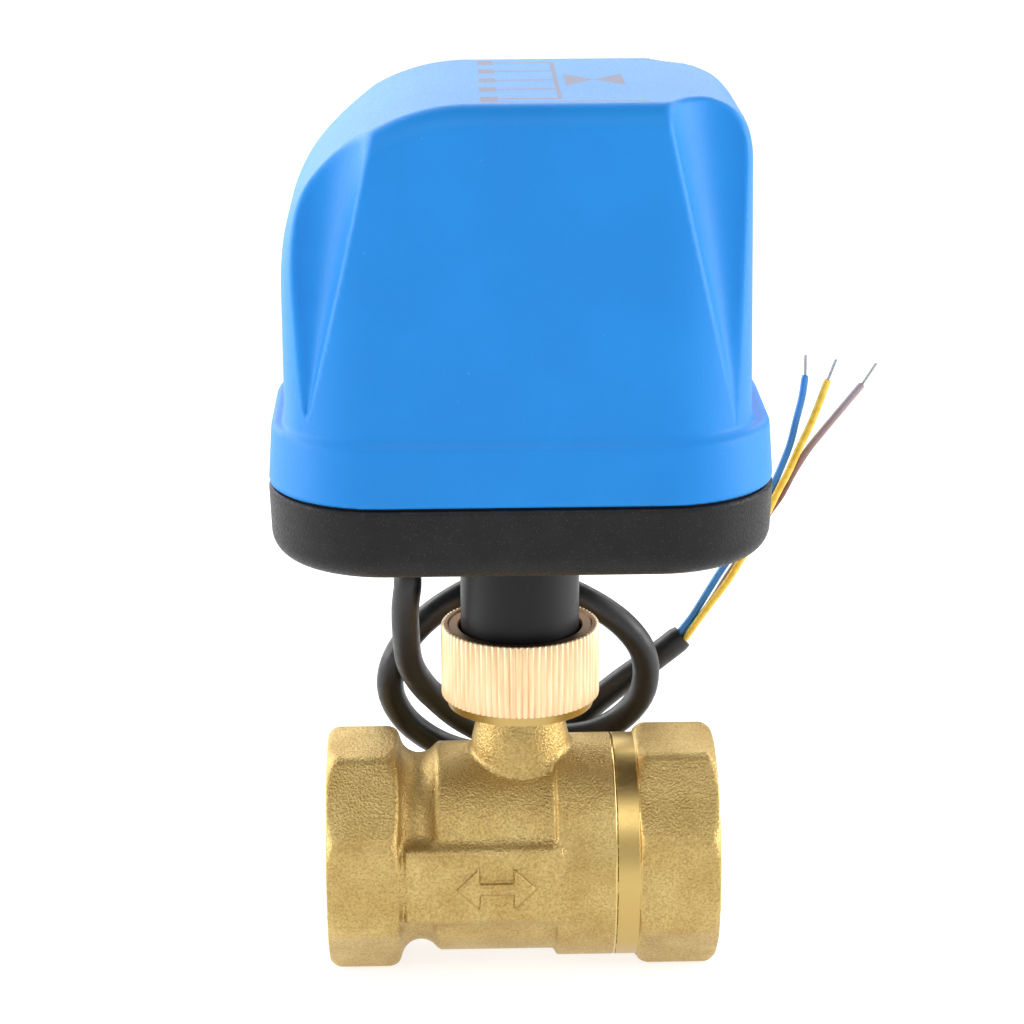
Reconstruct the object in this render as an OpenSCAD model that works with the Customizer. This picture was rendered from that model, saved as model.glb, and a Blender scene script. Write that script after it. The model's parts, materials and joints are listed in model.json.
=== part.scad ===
// Motorised two-way ball valve, used as a heating zone valve.
// The brass valve carries an electric head, held on by a knurled union nut.
// Origin: under the stem axis, on the plane of the valve's lower flats.
// +X runs along the bore to the outlet, +Y to the rear, +Z up along the stem.

/* [Valve] */
// Width across flats of the octagonal pipe ends
octagon_af = 41; // [40:0.5:42]
// Length of the valve along the bore
valve_length = 70; // [69:0.5:72]
// Minor radius of the G1 pipe threads
thread_r = 15.15; // [15:0.05:15.3]
// Depth of each pipe thread
thread_depth = 15; // [14:0.5:15.5]
// Radius of the water way
port_r = 10; // [8:0.5:10]
// Radius of the ball
ball_r = 15.5; // [15:0.1:15.6]

/* [Union nut] */
// Outer radius of the knurled nut over its teeth
nut_r = 14.2; // [13.9:0.1:14.6]
// Number of teeth in the knurl
knurl_teeth = 78; // [60:1:110]

/* [Actuator head] */
// Width of the base along the bore
head_width = 86.8; // [84:0.2:90]
// Depth of the base, front to back
head_depth = 63; // [61:0.5:66]
// Radius of the vertical corners
corner_r = 20; // [18:0.5:22]
// Height of the top of the cover above the lower flats
total_height = 160.6; // [158:0.2:164]
// Wall thickness of the moulded shells
wall = 2.2; // [2:0.1:2.6]

/* [Gear train] */
// Teeth on the output gear
gear_teeth = 36; // [36:1:36]
// Teeth on the motor pinion
pinion_teeth = 12; // [12:1:12]

/* [Cable] */
// Diameter of the supply cable
cable_d = 5; // [4.6:0.1:5]
// Diameter of one core
core_d = 1.4; // [1.2:0.1:1.4]

/* [Hidden] */
$fn = 64;
eps = 0.1;
axis_z = octagon_af / 2;
half_length = valve_length / 2;

// Valve stations along the bore
barrel_r = 19;
cap_barrel_r = 20.2;
groove_x = -18.5;
groove_cut_r = 3.5;
step_x = 5.85;
joint_x = 16.6;
ring_end_x = 20.6;
cavity_r = 16.3;
cavity_end_x = 9;
pocket_r = 14.6;
pocket_x = 16;
spigot_r = 17.4;
spigot_gap = 0.1;
spigot_x = 8.2;
mouth_chamfer = 1;
pad_half = 7.1;
pad_face_y = 19.9;

// Valve stations along the stem
boss_r = 7.6;
boss_flare_z = 44.5;
flare_r = 3;
collar_r = 12;
collar_z = 49;
collar_top_z = 56.5;
stem_r = 4.5;
stem_gap = 0.1;
stem_head_r = 6.5;
stem_head_z = 36.2;
stem_head_top_z = 38.4;
washer_z = 38.5;
stem_pocket_r = 7;
stem_pocket_top_z = 39.3;
tongue_w = 5;
tongue_z = 33.3;
drive_side = 6.2;
drive_z = 56.9;
stem_top_z = 64;

// Union joint
flange_r = 12.2;
flange_top_z = 58.6;
slip_top_z = 59.15;
nut_bore_r = 12.6;
nut_lip_z = 59.2;
nut_lip_r = 10.95;
nut_z = 48.3;
knurl_z = 50.2;
nut_top_z = 63.4;

// Head stations
neck_r = 10.6;
neck_bore_r = 7;
neck_seat_r = 8.5;
neck_seat_z = 76;
neck_z = 56.6;
base_z = 81;
floor_z = 84;
neck_flange_r = 15;
neck_flange_top_z = 86;
neck_screw_circle_r = 12.9;
rim_z = 93.9;
skirt_top_z = 104.8;
edge_r = 4.5;
screw_x = 33;
screw_y = 21;
boss_outer_r = 4.2;

// Cover outline, seen from the front
cover_left_x = -41.5;
cover_right_x = 40.4;
cover_half_y = 29.8;
left_arc_r = 33;
left_arc_x = cover_left_x + left_arc_r;
left_arc_z = total_height - left_arc_r;
right_arc_r = 11.5;
right_arc_x = cover_right_x - right_arc_r;
right_arc_z = total_height - right_arc_r;
scoop_x = 36.6;
scoop_y = 31.3;
scoop_z = 110;
scoop_top_r = 13;

// Gear train and switches
shaft_r = 6;
journal_r = 4;
bore_gap = 0.05;
shaft_z = 57.2;
shoulder_z = 86.9;
shaft_top_z = 101.8;
gear_z = 95.2;
gear_thickness = 4;
tooth_clearance = 0.12;
pressure_angle = 20;
gear_centre = (gear_teeth + pinion_teeth) / 2;
motor_x = 12;
motor_r = 24.5;
motor_top_z = 117.5;
plate_z = 100.5;
plate_thickness = 1.5;
plate_top_z = plate_z + plate_thickness;
standoff_x = 24.5;
standoff_y = 24;
cam_r = 13;
cam_lobe_r = 14;
cam_thickness = 2.6;
cam_lower_z = 87.2;
cam_upper_z = 90.2;
switch_size = [20, 10, 6.4];
switch_y = 15.3;
switch_close_z = 85.3;
switch_open_z = 88.3;
plunger_tip_y = 14.3;
plunger_r = 0.9;
switch_hole_x = 4.75;
switch_hole_y = 22;

// Circuit board
board_x = -31.6;
board_thickness = 1.6;
board_half_y = 15.5;
board_top_z = 140;
terminal_z = 103.5;

// Cable entry
gland_x = -20;
gland_z = 73;
gland_hole_r = 4.2;
cable_sides = 12;
core_sides = 8;
tip_r = 0.3;

// Route of the supply cable, from the gland to the cut end of its sheath
cable_route = [
    [-20, 0, 73], [-20, 0, 70.5], [-20.5, 1.5, 66], [-20.5, 4, 60], [-20, 7.5, 53.5], [-18, 11.5, 48],
    [-15, 14.5, 43.5], [-11, 17, 39], [-6, 18.5, 35.5], [0, 18.5, 33.5], [7, 19.5, 33.5],
    [14, 19.5, 34.5], [19.5, 19.5, 37.5], [23, 19, 42], [24, 18.5, 47], [23, 17.5, 52],
    [20, 16.5, 56.5], [16, 16, 60], [11, 16, 63], [5.5, 17, 65], [-1, 17.5, 65.5],
    [-7, 17, 64.5], [-12.5, 16, 62], [-17.5, 15, 58.5], [-21.5, 14, 54], [-23.5, 14.5, 49],
    [-23.5, 16, 44], [-21.5, 18, 39], [-18, 20.5, 34.5], [-13, 22, 31], [-7, 23, 29],
    [-0.5, 24, 29], [5.5, 25, 31], [11, 26, 34.5], [15.5, 26.5, 38.5], [20, 27, 42],
    [25, 27.5, 45.5], [31.5, 28, 50.5]
];

// Routes of the three cores, from the cut sheath to the end of their insulation
blue_route = [
    [30.9, 28, 51.2], [33.5, 28.5, 54.5], [36, 29, 58.5], [38.5, 29.5, 62.5], [41, 29.5, 66.5],
    [43.5, 29.5, 70.5], [45.5, 29.5, 74.5], [48, 29.5, 79], [50, 30, 83.5], [51.5, 30.5, 87.5],
    [52.5, 30.5, 92], [53.5, 30.5, 96.5], [54, 30.5, 100.5]
];
yellow_green_route = [
    [31.8, 27.2, 50.1], [34.5, 27.5, 54], [37.5, 28, 58], [40, 28, 61.5], [42.5, 28.5, 65.5],
    [45, 28.5, 69.5], [47, 28.5, 74], [49, 28.5, 78.5], [51, 28.5, 82.5], [53, 29, 87],
    [55, 29, 91.5], [56.5, 29, 95.5], [58, 29, 100]
];
brown_route = [
    [31.8, 28.8, 50.1], [35, 30, 53.5], [37.5, 30.5, 57], [40, 31, 61], [42.5, 31, 65],
    [45, 31, 69.5], [47.5, 31, 73.5], [50, 30.5, 77.5], [52, 30.5, 81.5], [54.5, 30, 86],
    [57.5, 30, 90], [60.5, 29.5, 94], [64.5, 29.5, 99]
];
blue_tip = [[54, 30.5, 100.5], [54, 30.5, 104.5]];
yellow_green_tip = [[58, 29, 100], [59.5, 29, 104]];
brown_tip = [[64.5, 29.5, 99], [67, 29.5, 103]];

// ---- helpers ----

// Cylinder along the bore from x0 to x1
module rod_x(x0, x1, r) {
    translate([x0, 0, axis_z])
        rotate([0, 90, 0])
            cylinder(h = x1 - x0, r = r);
}

// Cone along the bore
module cone_x(x0, x1, r0, r1) {
    translate([x0, 0, axis_z])
        rotate([0, 90, 0])
            cylinder(h = x1 - x0, r1 = r0, r2 = r1);
}

module rod_z(z0, z1, r) {
    translate([0, 0, z0])
        cylinder(h = z1 - z0, r = r);
}

module tube_z(z0, z1, outer_r, inner_r) {
    difference() {
        rod_z(z0, z1, outer_r);
        rod_z(z0 - eps, z1 + eps, inner_r);
    }
}

module box_at(low, high) {
    translate(low)
        cube(high - low);
}

module rounded_rect(width, depth, r) {
    square([width - 2 * r, depth], center = true);
    square([width, depth - 2 * r], center = true);
    for (x = [-1, 1], y = [-1, 1])
        translate([x * (width / 2 - r), y * (depth / 2 - r)])
            circle(r);
}

module slab(z0, z1, width, depth, r) {
    translate([0, 0, z0])
        linear_extrude(z1 - z0)
            rounded_rect(width, depth, r);
}

// Places its children at the four corners of a rectangle
module at_corners(x, y) {
    for (sx = [-1, 1], sy = [-1, 1])
        translate([sx * x, sy * y, 0])
            children();
}

// Places its children at a front and a rear copy
module front_and_rear() {
    children();
    mirror([0, 1, 0])
        children();
}

// Octagonal pipe end with turned corners; the chamfered face looks along +X
module octagon_end(x0, x1) {
    corner = octagon_af / 2 / cos(22.5);
    chamfer = 1.6;
    intersection() {
        translate([x0, 0, axis_z])
            rotate([22.5, 0, 0])
                rotate([0, 90, 0])
                    cylinder(h = x1 - x0, r = corner, $fn = 8);
        union() {
            cone_x(x0, x0 + chamfer, corner - chamfer, corner);
            rod_x(x0 + chamfer, x1 - chamfer, corner);
            cone_x(x1 - chamfer, x1, corner, corner - chamfer);
        }
    }
}

module pipe_thread_hole(x_face, side) {
    inner_x = x_face - side * thread_depth;
    rod_x(min(inner_x, x_face), max(inner_x, x_face), thread_r);
    mirror([side < 0 ? 1 : 0, 0, 0])
        cone_x(half_length - mouth_chamfer, half_length + eps, thread_r, thread_r + mouth_chamfer);
}

// ---- valve ----

module groove_cutter() {
    translate([groove_x, 0, axis_z])
        rotate([0, 90, 0])
            rotate_extrude()
                translate([barrel_r + 1.5, 0])
                    circle(groove_cut_r);
}

module stem_boss() {
    rod_z(axis_z, collar_z, boss_r);
    difference() {
        rod_z(axis_z + 15, boss_flare_z, boss_r + flare_r);
        translate([0, 0, boss_flare_z])
            rotate_extrude()
                translate([boss_r + flare_r, 0])
                    circle(flare_r);
    }
    translate([0, 0, collar_z - 2])
        cylinder(h = 2, r1 = boss_r, r2 = collar_r);
    rod_z(collar_z, collar_top_z, collar_r);
}

module flat_pad() {
    box_at([-20, -pad_face_y, axis_z - pad_half], [step_x + 0.4, -10, axis_z + pad_half]);
}

module valve_body() {
    color("goldenrod")
        difference() {
            union() {
                difference() {
                    union() {
                        octagon_end(-half_length, groove_x - 3);
                        rod_x(groove_x - 4, step_x, barrel_r);
                    }
                    groove_cutter();
                }
                rod_x(step_x, joint_x, cap_barrel_r);
                front_and_rear()
                    flat_pad();
                stem_boss();
            }
            pipe_thread_hole(-half_length, -1);
            rod_x(-half_length + thread_depth - eps, 0, port_r);
            rod_x(-pocket_x, 0, pocket_r);
            rod_x(-cavity_end_x, joint_x, cavity_r);
            rod_x(spigot_x, joint_x + eps, spigot_r + spigot_gap);
            rod_z(axis_z, stem_pocket_top_z, stem_pocket_r);
            rod_z(axis_z, collar_top_z + eps, stem_r + stem_gap);
        }
}

module end_cap() {
    groove_low = 14.2;
    groove_high = 16.4;
    color("gold")
        difference() {
            union() {
                rod_x(spigot_x + 0.2, joint_x, spigot_r);
                rod_x(joint_x, ring_end_x, cap_barrel_r);
                octagon_end(ring_end_x, half_length);
            }
            pipe_thread_hole(half_length, 1);
            rod_x(0, half_length - thread_depth + eps, port_r);
            rod_x(0, pocket_x, pocket_r);
            rod_x(0, cavity_end_x, cavity_r);
            difference() {
                rod_x(groove_low, groove_high, spigot_r + 1);
                rod_x(groove_low - eps, groove_high + eps, spigot_r - 1.5);
            }
        }
}

module end_cap_seal() {
    section_r = 0.75;
    color("black")
        translate([15.3, 0, axis_z])
            rotate([0, 90, 0])
                rotate_extrude()
                    translate([spigot_r - section_r, 0])
                        circle(section_r, $fn = 24);
}

module seat() {
    inner_x = cavity_end_x + 0.5;
    color("white")
        difference() {
            rod_x(inner_x, pocket_x - 0.1, pocket_r - 0.1);
            rod_x(inner_x - eps, pocket_x, port_r + 0.2);
            translate([0, 0, axis_z])
                sphere(ball_r + 0.3);
        }
}

module seat_inlet() {
    mirror([1, 0, 0])
        seat();
}

module seat_outlet() {
    seat();
}

module thrust_washer() {
    color("white")
        tube_z(washer_z, stem_pocket_top_z - 0.1, stem_pocket_r - 0.1, stem_r + stem_gap);
}

module ball() {
    slot_gap = 0.1;
    color("silver")
        difference() {
            translate([0, 0, axis_z])
                sphere(ball_r);
            rod_x(-ball_r - 1, ball_r + 1, port_r);
            box_at([-ball_r, -tongue_w / 2 - slot_gap, tongue_z - 0.2],
                   [ball_r, tongue_w / 2 + slot_gap, axis_z + ball_r + 1]);
        }
}

module stem() {
    ring_depth = 0.8;
    color("khaki")
        difference() {
            union() {
                intersection() {
                    box_at([-stem_head_r, -tongue_w / 2, tongue_z],
                           [stem_head_r, tongue_w / 2, stem_head_z]);
                    rod_z(tongue_z, stem_head_z, stem_head_r);
                }
                rod_z(stem_head_z, stem_head_top_z, stem_head_r);
                rod_z(stem_head_top_z, drive_z, stem_r);
                box_at([-drive_side / 2, -drive_side / 2, drive_z],
                       [drive_side / 2, drive_side / 2, stem_top_z]);
            }
            for (z = [44, 50])
                tube_z(z, z + 2, stem_r + 1, stem_r - ring_depth);
        }
}

module stem_o_rings() {
    section_r = 0.4;
    color("black")
        for (z = [45, 51])
            translate([0, 0, z])
                rotate_extrude()
                    translate([stem_r - section_r, 0])
                        circle(section_r, $fn = 24);
}

// ---- union nut ----

module nut_slip_ring() {
    color("white")
        tube_z(flange_top_z + 0.05, slip_top_z, flange_r, nut_lip_r);
}

// The knurl is a row of shallow V grooves around the nut
module knurl_outline() {
    root_r = nut_r - 0.35;
    polygon([
        for (i = [0 : 2 * knurl_teeth - 1])
            let (r = i % 2 == 0 ? nut_r : root_r, a = 180 * i / knurl_teeth)
                [r * cos(a), r * sin(a)]
    ]);
}

module union_nut() {
    color("wheat")
        difference() {
            union() {
                translate([0, 0, nut_z])
                    cylinder(h = knurl_z - nut_z, r1 = nut_bore_r + 0.3, r2 = nut_r - 0.4);
                translate([0, 0, knurl_z])
                    linear_extrude(nut_top_z - knurl_z)
                        knurl_outline();
            }
            rod_z(nut_z - eps, nut_lip_z, nut_bore_r);
            rod_z(nut_z - eps, nut_top_z + eps, nut_lip_r);
        }
}

// ---- head: fixed pieces ----

module neck_screw_places() {
    for (a = [45 : 90 : 315])
        rotate([0, 0, a])
            translate([neck_screw_circle_r, 0, 0])
                children();
}

module countersunk_screw(z_low, z_high, r) {
    head_h = r;
    rod_z(z_low, z_high - head_h + eps, r);
    translate([0, 0, z_high - head_h])
        cylinder(h = head_h, r1 = r, r2 = 1.7 * r);
}

module mounting_neck() {
    color("#26262c")
        difference() {
            union() {
                rod_z(neck_z, flange_top_z, flange_r);
                rod_z(neck_z, neck_flange_top_z, neck_r);
                rod_z(floor_z, neck_flange_top_z, neck_flange_r);
            }
            rod_z(neck_z - eps, neck_flange_top_z + eps, neck_bore_r);
            rod_z(neck_seat_z, neck_flange_top_z + eps, neck_seat_r);
            neck_screw_places()
                countersunk_screw(floor_z - eps, neck_flange_top_z + 0.01, 1.25);
        }
}

module neck_screws() {
    color("silver")
        neck_screw_places()
            countersunk_screw(floor_z - 2, neck_flange_top_z - 0.05, 1.15);
}

// One quadrant profile of the tray: a rounded lower edge under a straight side
module tray_profile(half) {
    height = rim_z - base_z;
    translate([0, edge_r])
        square([half, height - edge_r]);
    square([half - edge_r, height]);
    translate([half - edge_r, edge_r])
        circle(edge_r);
}

module tray_outer() {
    half_x = head_width / 2 - corner_r;
    half_y = head_depth / 2 - corner_r;
    translate([0, 0, base_z]) {
        at_corners(half_x, half_y)
            rotate_extrude()
                tray_profile(corner_r);
        for (s = [0, 1])
            mirror([0, s, 0])
                rotate([90, 0, 90])
                    translate([0, 0, -half_x])
                        linear_extrude(2 * half_x)
                            tray_profile(head_depth / 2);
        for (s = [0, 1])
            mirror([s, 0, 0])
                rotate([90, 0, 0])
                    translate([0, 0, -half_y])
                        linear_extrude(2 * half_y)
                            tray_profile(head_width / 2);
    }
}

module gasket_ring(z0, z1, gap) {
    inset = 1.6 + 2 * gap;
    band = 1.6 - 4 * gap;
    difference() {
        slab(z0, z1, head_width - inset, head_depth - inset, corner_r - inset / 2);
        slab(z0 - eps, z1 + eps, head_width - inset - band, head_depth - inset - band,
             corner_r - (inset + band) / 2);
    }
}

module switch_pads(z_top, side) {
    for (x = [-1, 1])
        translate([x * switch_hole_x, side * switch_hole_y, 0])
            rod_z(floor_z - eps, z_top, 2.2);
}

module switch_pilot_holes(side) {
    for (x = [-1, 1])
        translate([x * switch_hole_x, side * switch_hole_y, 0])
            rod_z(floor_z - 1.5, switch_open_z + eps, 0.9);
}

// Two upright guides that hold the circuit board on its end
module board_guides() {
    for (y = [-1, 1])
        difference() {
            translate([board_x + board_thickness / 2, y * (board_half_y - 0.5), floor_z - eps])
                translate([-2.5, -1.5, 0])
                    cube([5, 3, 8]);
            box_at([board_x - 0.1, -board_half_y - 0.1, floor_z],
                   [board_x + board_thickness + 0.1, board_half_y + 0.1, floor_z + 9]);
        }
}

module actuator_base() {
    inner_w = head_width - 2 * wall - 0.4;
    inner_d = head_depth - 2 * wall - 0.4;
    color("#333337")
        difference() {
            union() {
                difference() {
                    tray_outer();
                    slab(floor_z, rim_z + eps, inner_w, inner_d, corner_r - wall - 0.2);
                }
                at_corners(screw_x, screw_y)
                    rod_z(floor_z - eps, rim_z, boss_outer_r);
                at_corners(standoff_x, standoff_y)
                    rod_z(floor_z - eps, floor_z + 1, 3.5);
                switch_pads(switch_close_z, 1);
                switch_pads(switch_open_z, -1);
                board_guides();
            }
            rod_z(base_z - eps, floor_z + eps, neck_r + 0.05);
            neck_screw_places()
                rod_z(floor_z - 2.1, floor_z + eps, 1.2);
            at_corners(screw_x, screw_y) {
                rod_z(base_z - eps, 86.5, 3.1);
                rod_z(86, rim_z + eps, 1.7);
            }
            at_corners(standoff_x, standoff_y)
                rod_z(floor_z - 1.5, floor_z + 2, 1.25);
            switch_pilot_holes(1);
            switch_pilot_holes(-1);
            translate([gland_x, 0, 0])
                rod_z(base_z - eps, floor_z + eps, gland_hole_r);
            gasket_ring(rim_z - 1, rim_z + eps, 0);
        }
}

module cover_gasket() {
    color("dimgray")
        gasket_ring(rim_z - 0.95, rim_z, 0.05);
}

module cover_screws() {
    color("silver")
        at_corners(screw_x, screw_y) {
            rod_z(84.1, 86.5, 2.8);
            rod_z(86.4, 102, 1.45);
        }
}

// Front outline of the cover above its skirt, moved in by an inset
module cover_outline(inset) {
    left = cover_left_x + inset;
    right = cover_right_x - inset;
    top = total_height - inset;
    translate([left, skirt_top_z - 4])
        square([right - left, left_arc_z - skirt_top_z + 4]);
    translate([left_arc_x, left_arc_z])
        circle(left_arc_r - inset, $fn = 96);
    translate([left_arc_x, skirt_top_z - 4])
        square([right_arc_x - left_arc_x, top - skirt_top_z + 4]);
    translate([right_arc_x, right_arc_z])
        circle(right_arc_r - inset);
    translate([left_arc_x, skirt_top_z - 4])
        square([right - left_arc_x, right_arc_z - skirt_top_z + 4]);
}

module cover_loaf(inset) {
    intersection() {
        rotate([90, 0, 0])
            translate([0, 0, -head_depth / 2])
                linear_extrude(head_depth)
                    cover_outline(inset);
        translate([(cover_left_x + cover_right_x) / 2, 0, 0])
            slab(skirt_top_z - 4, total_height, cover_right_x - cover_left_x - 2 * inset,
                 2 * (cover_half_y - inset), corner_r - 1.5 - inset);
    }
}

// Conical flute at each corner of the cover, pointed at its lower end
module scoops(grow) {
    at_corners(scoop_x, scoop_y)
        translate([0, 0, scoop_z])
            cylinder(h = total_height - scoop_z + eps, r1 = 0.05 + grow, r2 = scoop_top_r + grow);
}

module cover_hollow() {
    slab(rim_z - eps, skirt_top_z - wall, head_width - 2 * wall, head_depth - 2 * wall,
         corner_r - wall);
    difference() {
        cover_loaf(wall);
        scoops(wall);
    }
}

module cover() {
    color("dodgerblue")
        difference() {
            union() {
                difference() {
                    union() {
                        slab(rim_z, skirt_top_z, head_width, head_depth, corner_r);
                        cover_loaf(0);
                    }
                    scoops(0);
                    cover_hollow();
                }
                intersection() {
                    at_corners(screw_x, screw_y)
                        rod_z(rim_z, 106, boss_outer_r);
                    slab(rim_z, 106, head_width - wall, head_depth - wall, corner_r - wall / 2);
                }
            }
            at_corners(screw_x, screw_y)
                rod_z(rim_z - eps, 103, 1.5);
        }
}

module shaft_bush() {
    color("ivory")
        tube_z(neck_seat_z, neck_flange_top_z, neck_seat_r - 0.03, shaft_r + bore_gap);
}

module plate_outline() {
    difference() {
        union() {
            translate([-28, -26])
                square([55, 52]);
            translate([motor_x, 0])
                circle(motor_r + 0.5);
        }
        translate([-28.5, -6.5])
            square([12, 13]);
        circle(journal_r + bore_gap);
        translate([gear_centre, 0])
            circle(5);
        for (y = [-20, 20])
            translate([motor_x, y])
                circle(1.7);
        for (x = [-1, 1], y = [-1, 1])
            translate([x * standoff_x, y * standoff_y])
                circle(1.3);
    }
}

module gear_plate() {
    color("lightgray")
        translate([0, 0, plate_z])
            linear_extrude(plate_thickness)
                plate_outline();
}

module plate_standoffs() {
    color("khaki")
        at_corners(standoff_x, standoff_y)
            difference() {
                union() {
                    translate([0, 0, floor_z + 1])
                        cylinder(h = plate_z - floor_z - 1, r = 2.9, $fn = 6);
                    rod_z(floor_z - 1.4, floor_z + 1.1, 1.2);
                }
                rod_z(plate_z - 6, plate_z + eps, 1.2);
            }
}

module plate_screws() {
    color("silver")
        at_corners(standoff_x, standoff_y) {
            rod_z(plate_z - 5, plate_top_z + eps, 1.15);
            rod_z(plate_top_z, plate_top_z + 1.6, 2.3);
        }
}

module motor_can() {
    color("gainsboro")
        translate([motor_x, 0, 0])
            difference() {
                union() {
                    rod_z(plate_top_z, motor_top_z, motor_r);
                    rod_z(motor_top_z - eps, motor_top_z + 1.5, 5);
                }
                translate([gear_centre - motor_x, 0, 0])
                    rod_z(plate_top_z - eps, 107, 3 + bore_gap);
                for (y = [-20, 20])
                    translate([0, y, 0])
                        rod_z(plate_top_z - eps, 107, 1.5);
            }
}

module motor_screws() {
    color("silver")
        for (y = [-20, 20])
            translate([motor_x, y, 0]) {
                rod_z(plate_z - 1.8, plate_z, 2.6);
                rod_z(plate_z - eps, 106, 1.45);
            }
}

// Snap switch; side is 1 for the rear one and -1 for the front one
module snap_switch(z_low, side) {
    half = switch_size[0] / 2;
    mirror([0, side < 0 ? 1 : 0, 0])
        difference() {
            box_at([-half, switch_y, z_low],
                   [half, switch_y + switch_size[1], z_low + switch_size[2]]);
            translate([0, switch_y - eps, z_low + switch_size[2] / 2])
                rotate([-90, 0, 0])
                    cylinder(h = 3, r = plunger_r + 0.1);
            for (x = [-1, 1])
                translate([x * switch_hole_x, switch_hole_y, 0])
                    rod_z(z_low - eps, z_low + switch_size[2] + eps, 1.15);
        }
}

module switch_open_body() {
    color("#1c1c1e")
        snap_switch(switch_open_z, -1);
}

module switch_close_body() {
    color("#1c1c1e")
        snap_switch(switch_close_z, 1);
}

module terminal_row(z, side) {
    tab_y = switch_y + switch_size[1];
    mirror([0, side < 0 ? 1 : 0, 0])
        for (x = [-8, 0, 8])
            box_at([x - 1.2, tab_y, z - 0.25], [x + 1.2, tab_y + 2.8, z + 0.25]);
}

module switch_terminals() {
    color("khaki") {
        terminal_row(switch_open_z + switch_size[2] / 2, -1);
        terminal_row(switch_close_z + switch_size[2] / 2, 1);
    }
}

module switch_screw_pair(z_low, side) {
    top = z_low + switch_size[2];
    for (x = [-1, 1])
        translate([x * switch_hole_x, side * switch_hole_y, 0]) {
            rod_z(floor_z - 1.4, top + eps, 0.85);
            rod_z(top, top + 0.3, 1.9);
        }
}

module switch_screws() {
    color("silver") {
        switch_screw_pair(switch_open_z, -1);
        switch_screw_pair(switch_close_z, 1);
    }
}

module plunger(z_low, side) {
    mirror([0, side < 0 ? 1 : 0, 0])
        translate([0, plunger_tip_y, z_low + switch_size[2] / 2])
            rotate([-90, 0, 0])
                cylinder(h = 3, r = plunger_r);
}

module plunger_open() {
    color("red")
        plunger(switch_open_z, -1);
}

module plunger_close() {
    color("red")
        plunger(switch_close_z, 1);
}

module circuit_board() {
    color("darkgreen")
        box_at([board_x, -board_half_y, floor_z + 0.1],
               [board_x + board_thickness, board_half_y, board_top_z]);
}

module board_part(x_depth, y0, y1, z0, z1) {
    face = board_x + board_thickness;
    box_at([face, y0, z0], [face + x_depth, y1, z1]);
}

module relay() {
    color("royalblue")
        board_part(12, -13, 2, 120, 136);
}

module capacitor() {
    color("gold")
        board_part(7, 5, 14, 121, 134);
}

module terminal_block() {
    color("seagreen")
        difference() {
            board_part(11.5, -8, 8, terminal_z, terminal_z + 10);
            for (y = [-5, 0, 5])
                translate([gland_x, y, terminal_z])
                    rod_z(-1, 5, 0.9);
        }
}

// ---- cable entry ----

module cable_gland() {
    color("#1a1a1c")
        translate([gland_x, 0, 0])
            difference() {
                union() {
                    translate([0, 0, gland_z])
                        cylinder(h = 6, r1 = 3.4, r2 = 4.6);
                    rod_z(gland_z + 6, base_z, 5);
                    rod_z(base_z, floor_z, gland_hole_r - bore_gap);
                    rod_z(floor_z, floor_z + 1.5, 4.8);
                }
                rod_z(gland_z - eps, floor_z + 2, cable_d / 2);
            }
}

module cable_tie() {
    color("white")
        translate([gland_x, 0, 0])
            difference() {
                union() {
                    rod_z(86.3, 88.8, cable_d / 2 + 1);
                    box_at([-6.5, -2, 86.3], [-2.5, 2, 88.8]);
                }
                rod_z(86, 89, cable_d / 2 + 0.02);
            }
}

// The cable inside the head: a short length of sheath, then the three cores
module cable_inner_end() {
    color("#1a1a1c")
        translate([gland_x, 0, 0]) {
            rod_z(gland_z + 0.01, 91, cable_d / 2 - 0.02);
            for (y = [-1.5, 0, 1.5])
                translate([0, y, 0])
                    rod_z(90.9, 96, core_d / 2);
            for (y = [-5, 0, 5])
                translate([0, y, 0])
                    rod_z(95, terminal_z + 4, core_d / 2);
            for (y = [-5, 1.5])
                translate([-core_d / 2, y - core_d / 4, 95])
                    cube([core_d, 3.5 + core_d / 2, core_d / 2 + 0.3]);
        }
}

// ---- output train ----

module output_shaft() {
    socket = drive_side + 0.3;
    color("lightsteelblue")
        difference() {
            union() {
                rod_z(shaft_z, shoulder_z, shaft_r);
                rod_z(shoulder_z - eps, shaft_top_z, journal_r);
            }
            box_at([-socket / 2, -socket / 2, shaft_z - eps], [socket / 2, socket / 2, 66]);
            tube_z(gear_z + gear_thickness + 0.2, gear_z + gear_thickness + 1, journal_r + 1,
                   journal_r - 0.6);
        }
}

module cam(z_low, lobe_angle) {
    color("white")
        difference() {
            union() {
                rod_z(z_low, z_low + cam_thickness, cam_r);
                intersection() {
                    rod_z(z_low, z_low + cam_thickness, cam_lobe_r);
                    rotate([0, 0, lobe_angle])
                        box_at([0, -5, z_low], [cam_lobe_r, 5, z_low + cam_thickness]);
                }
            }
            rod_z(z_low - eps, z_low + cam_thickness + eps, journal_r + bore_gap);
        }
}

module cam_lower() {
    cam(cam_lower_z, 0);
}

module cam_upper() {
    cam(cam_upper_z, -90);
}

function involute_point(base_r, r, turn, flank) =
    let (roll = sqrt(max(0, r * r / (base_r * base_r) - 1)),
         angle = flank * (roll * 180 / PI - atan(roll)) + turn)
    [r * cos(angle), r * sin(angle)];

function inv_angle(a) = tan(a) * 180 / PI - a;

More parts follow.
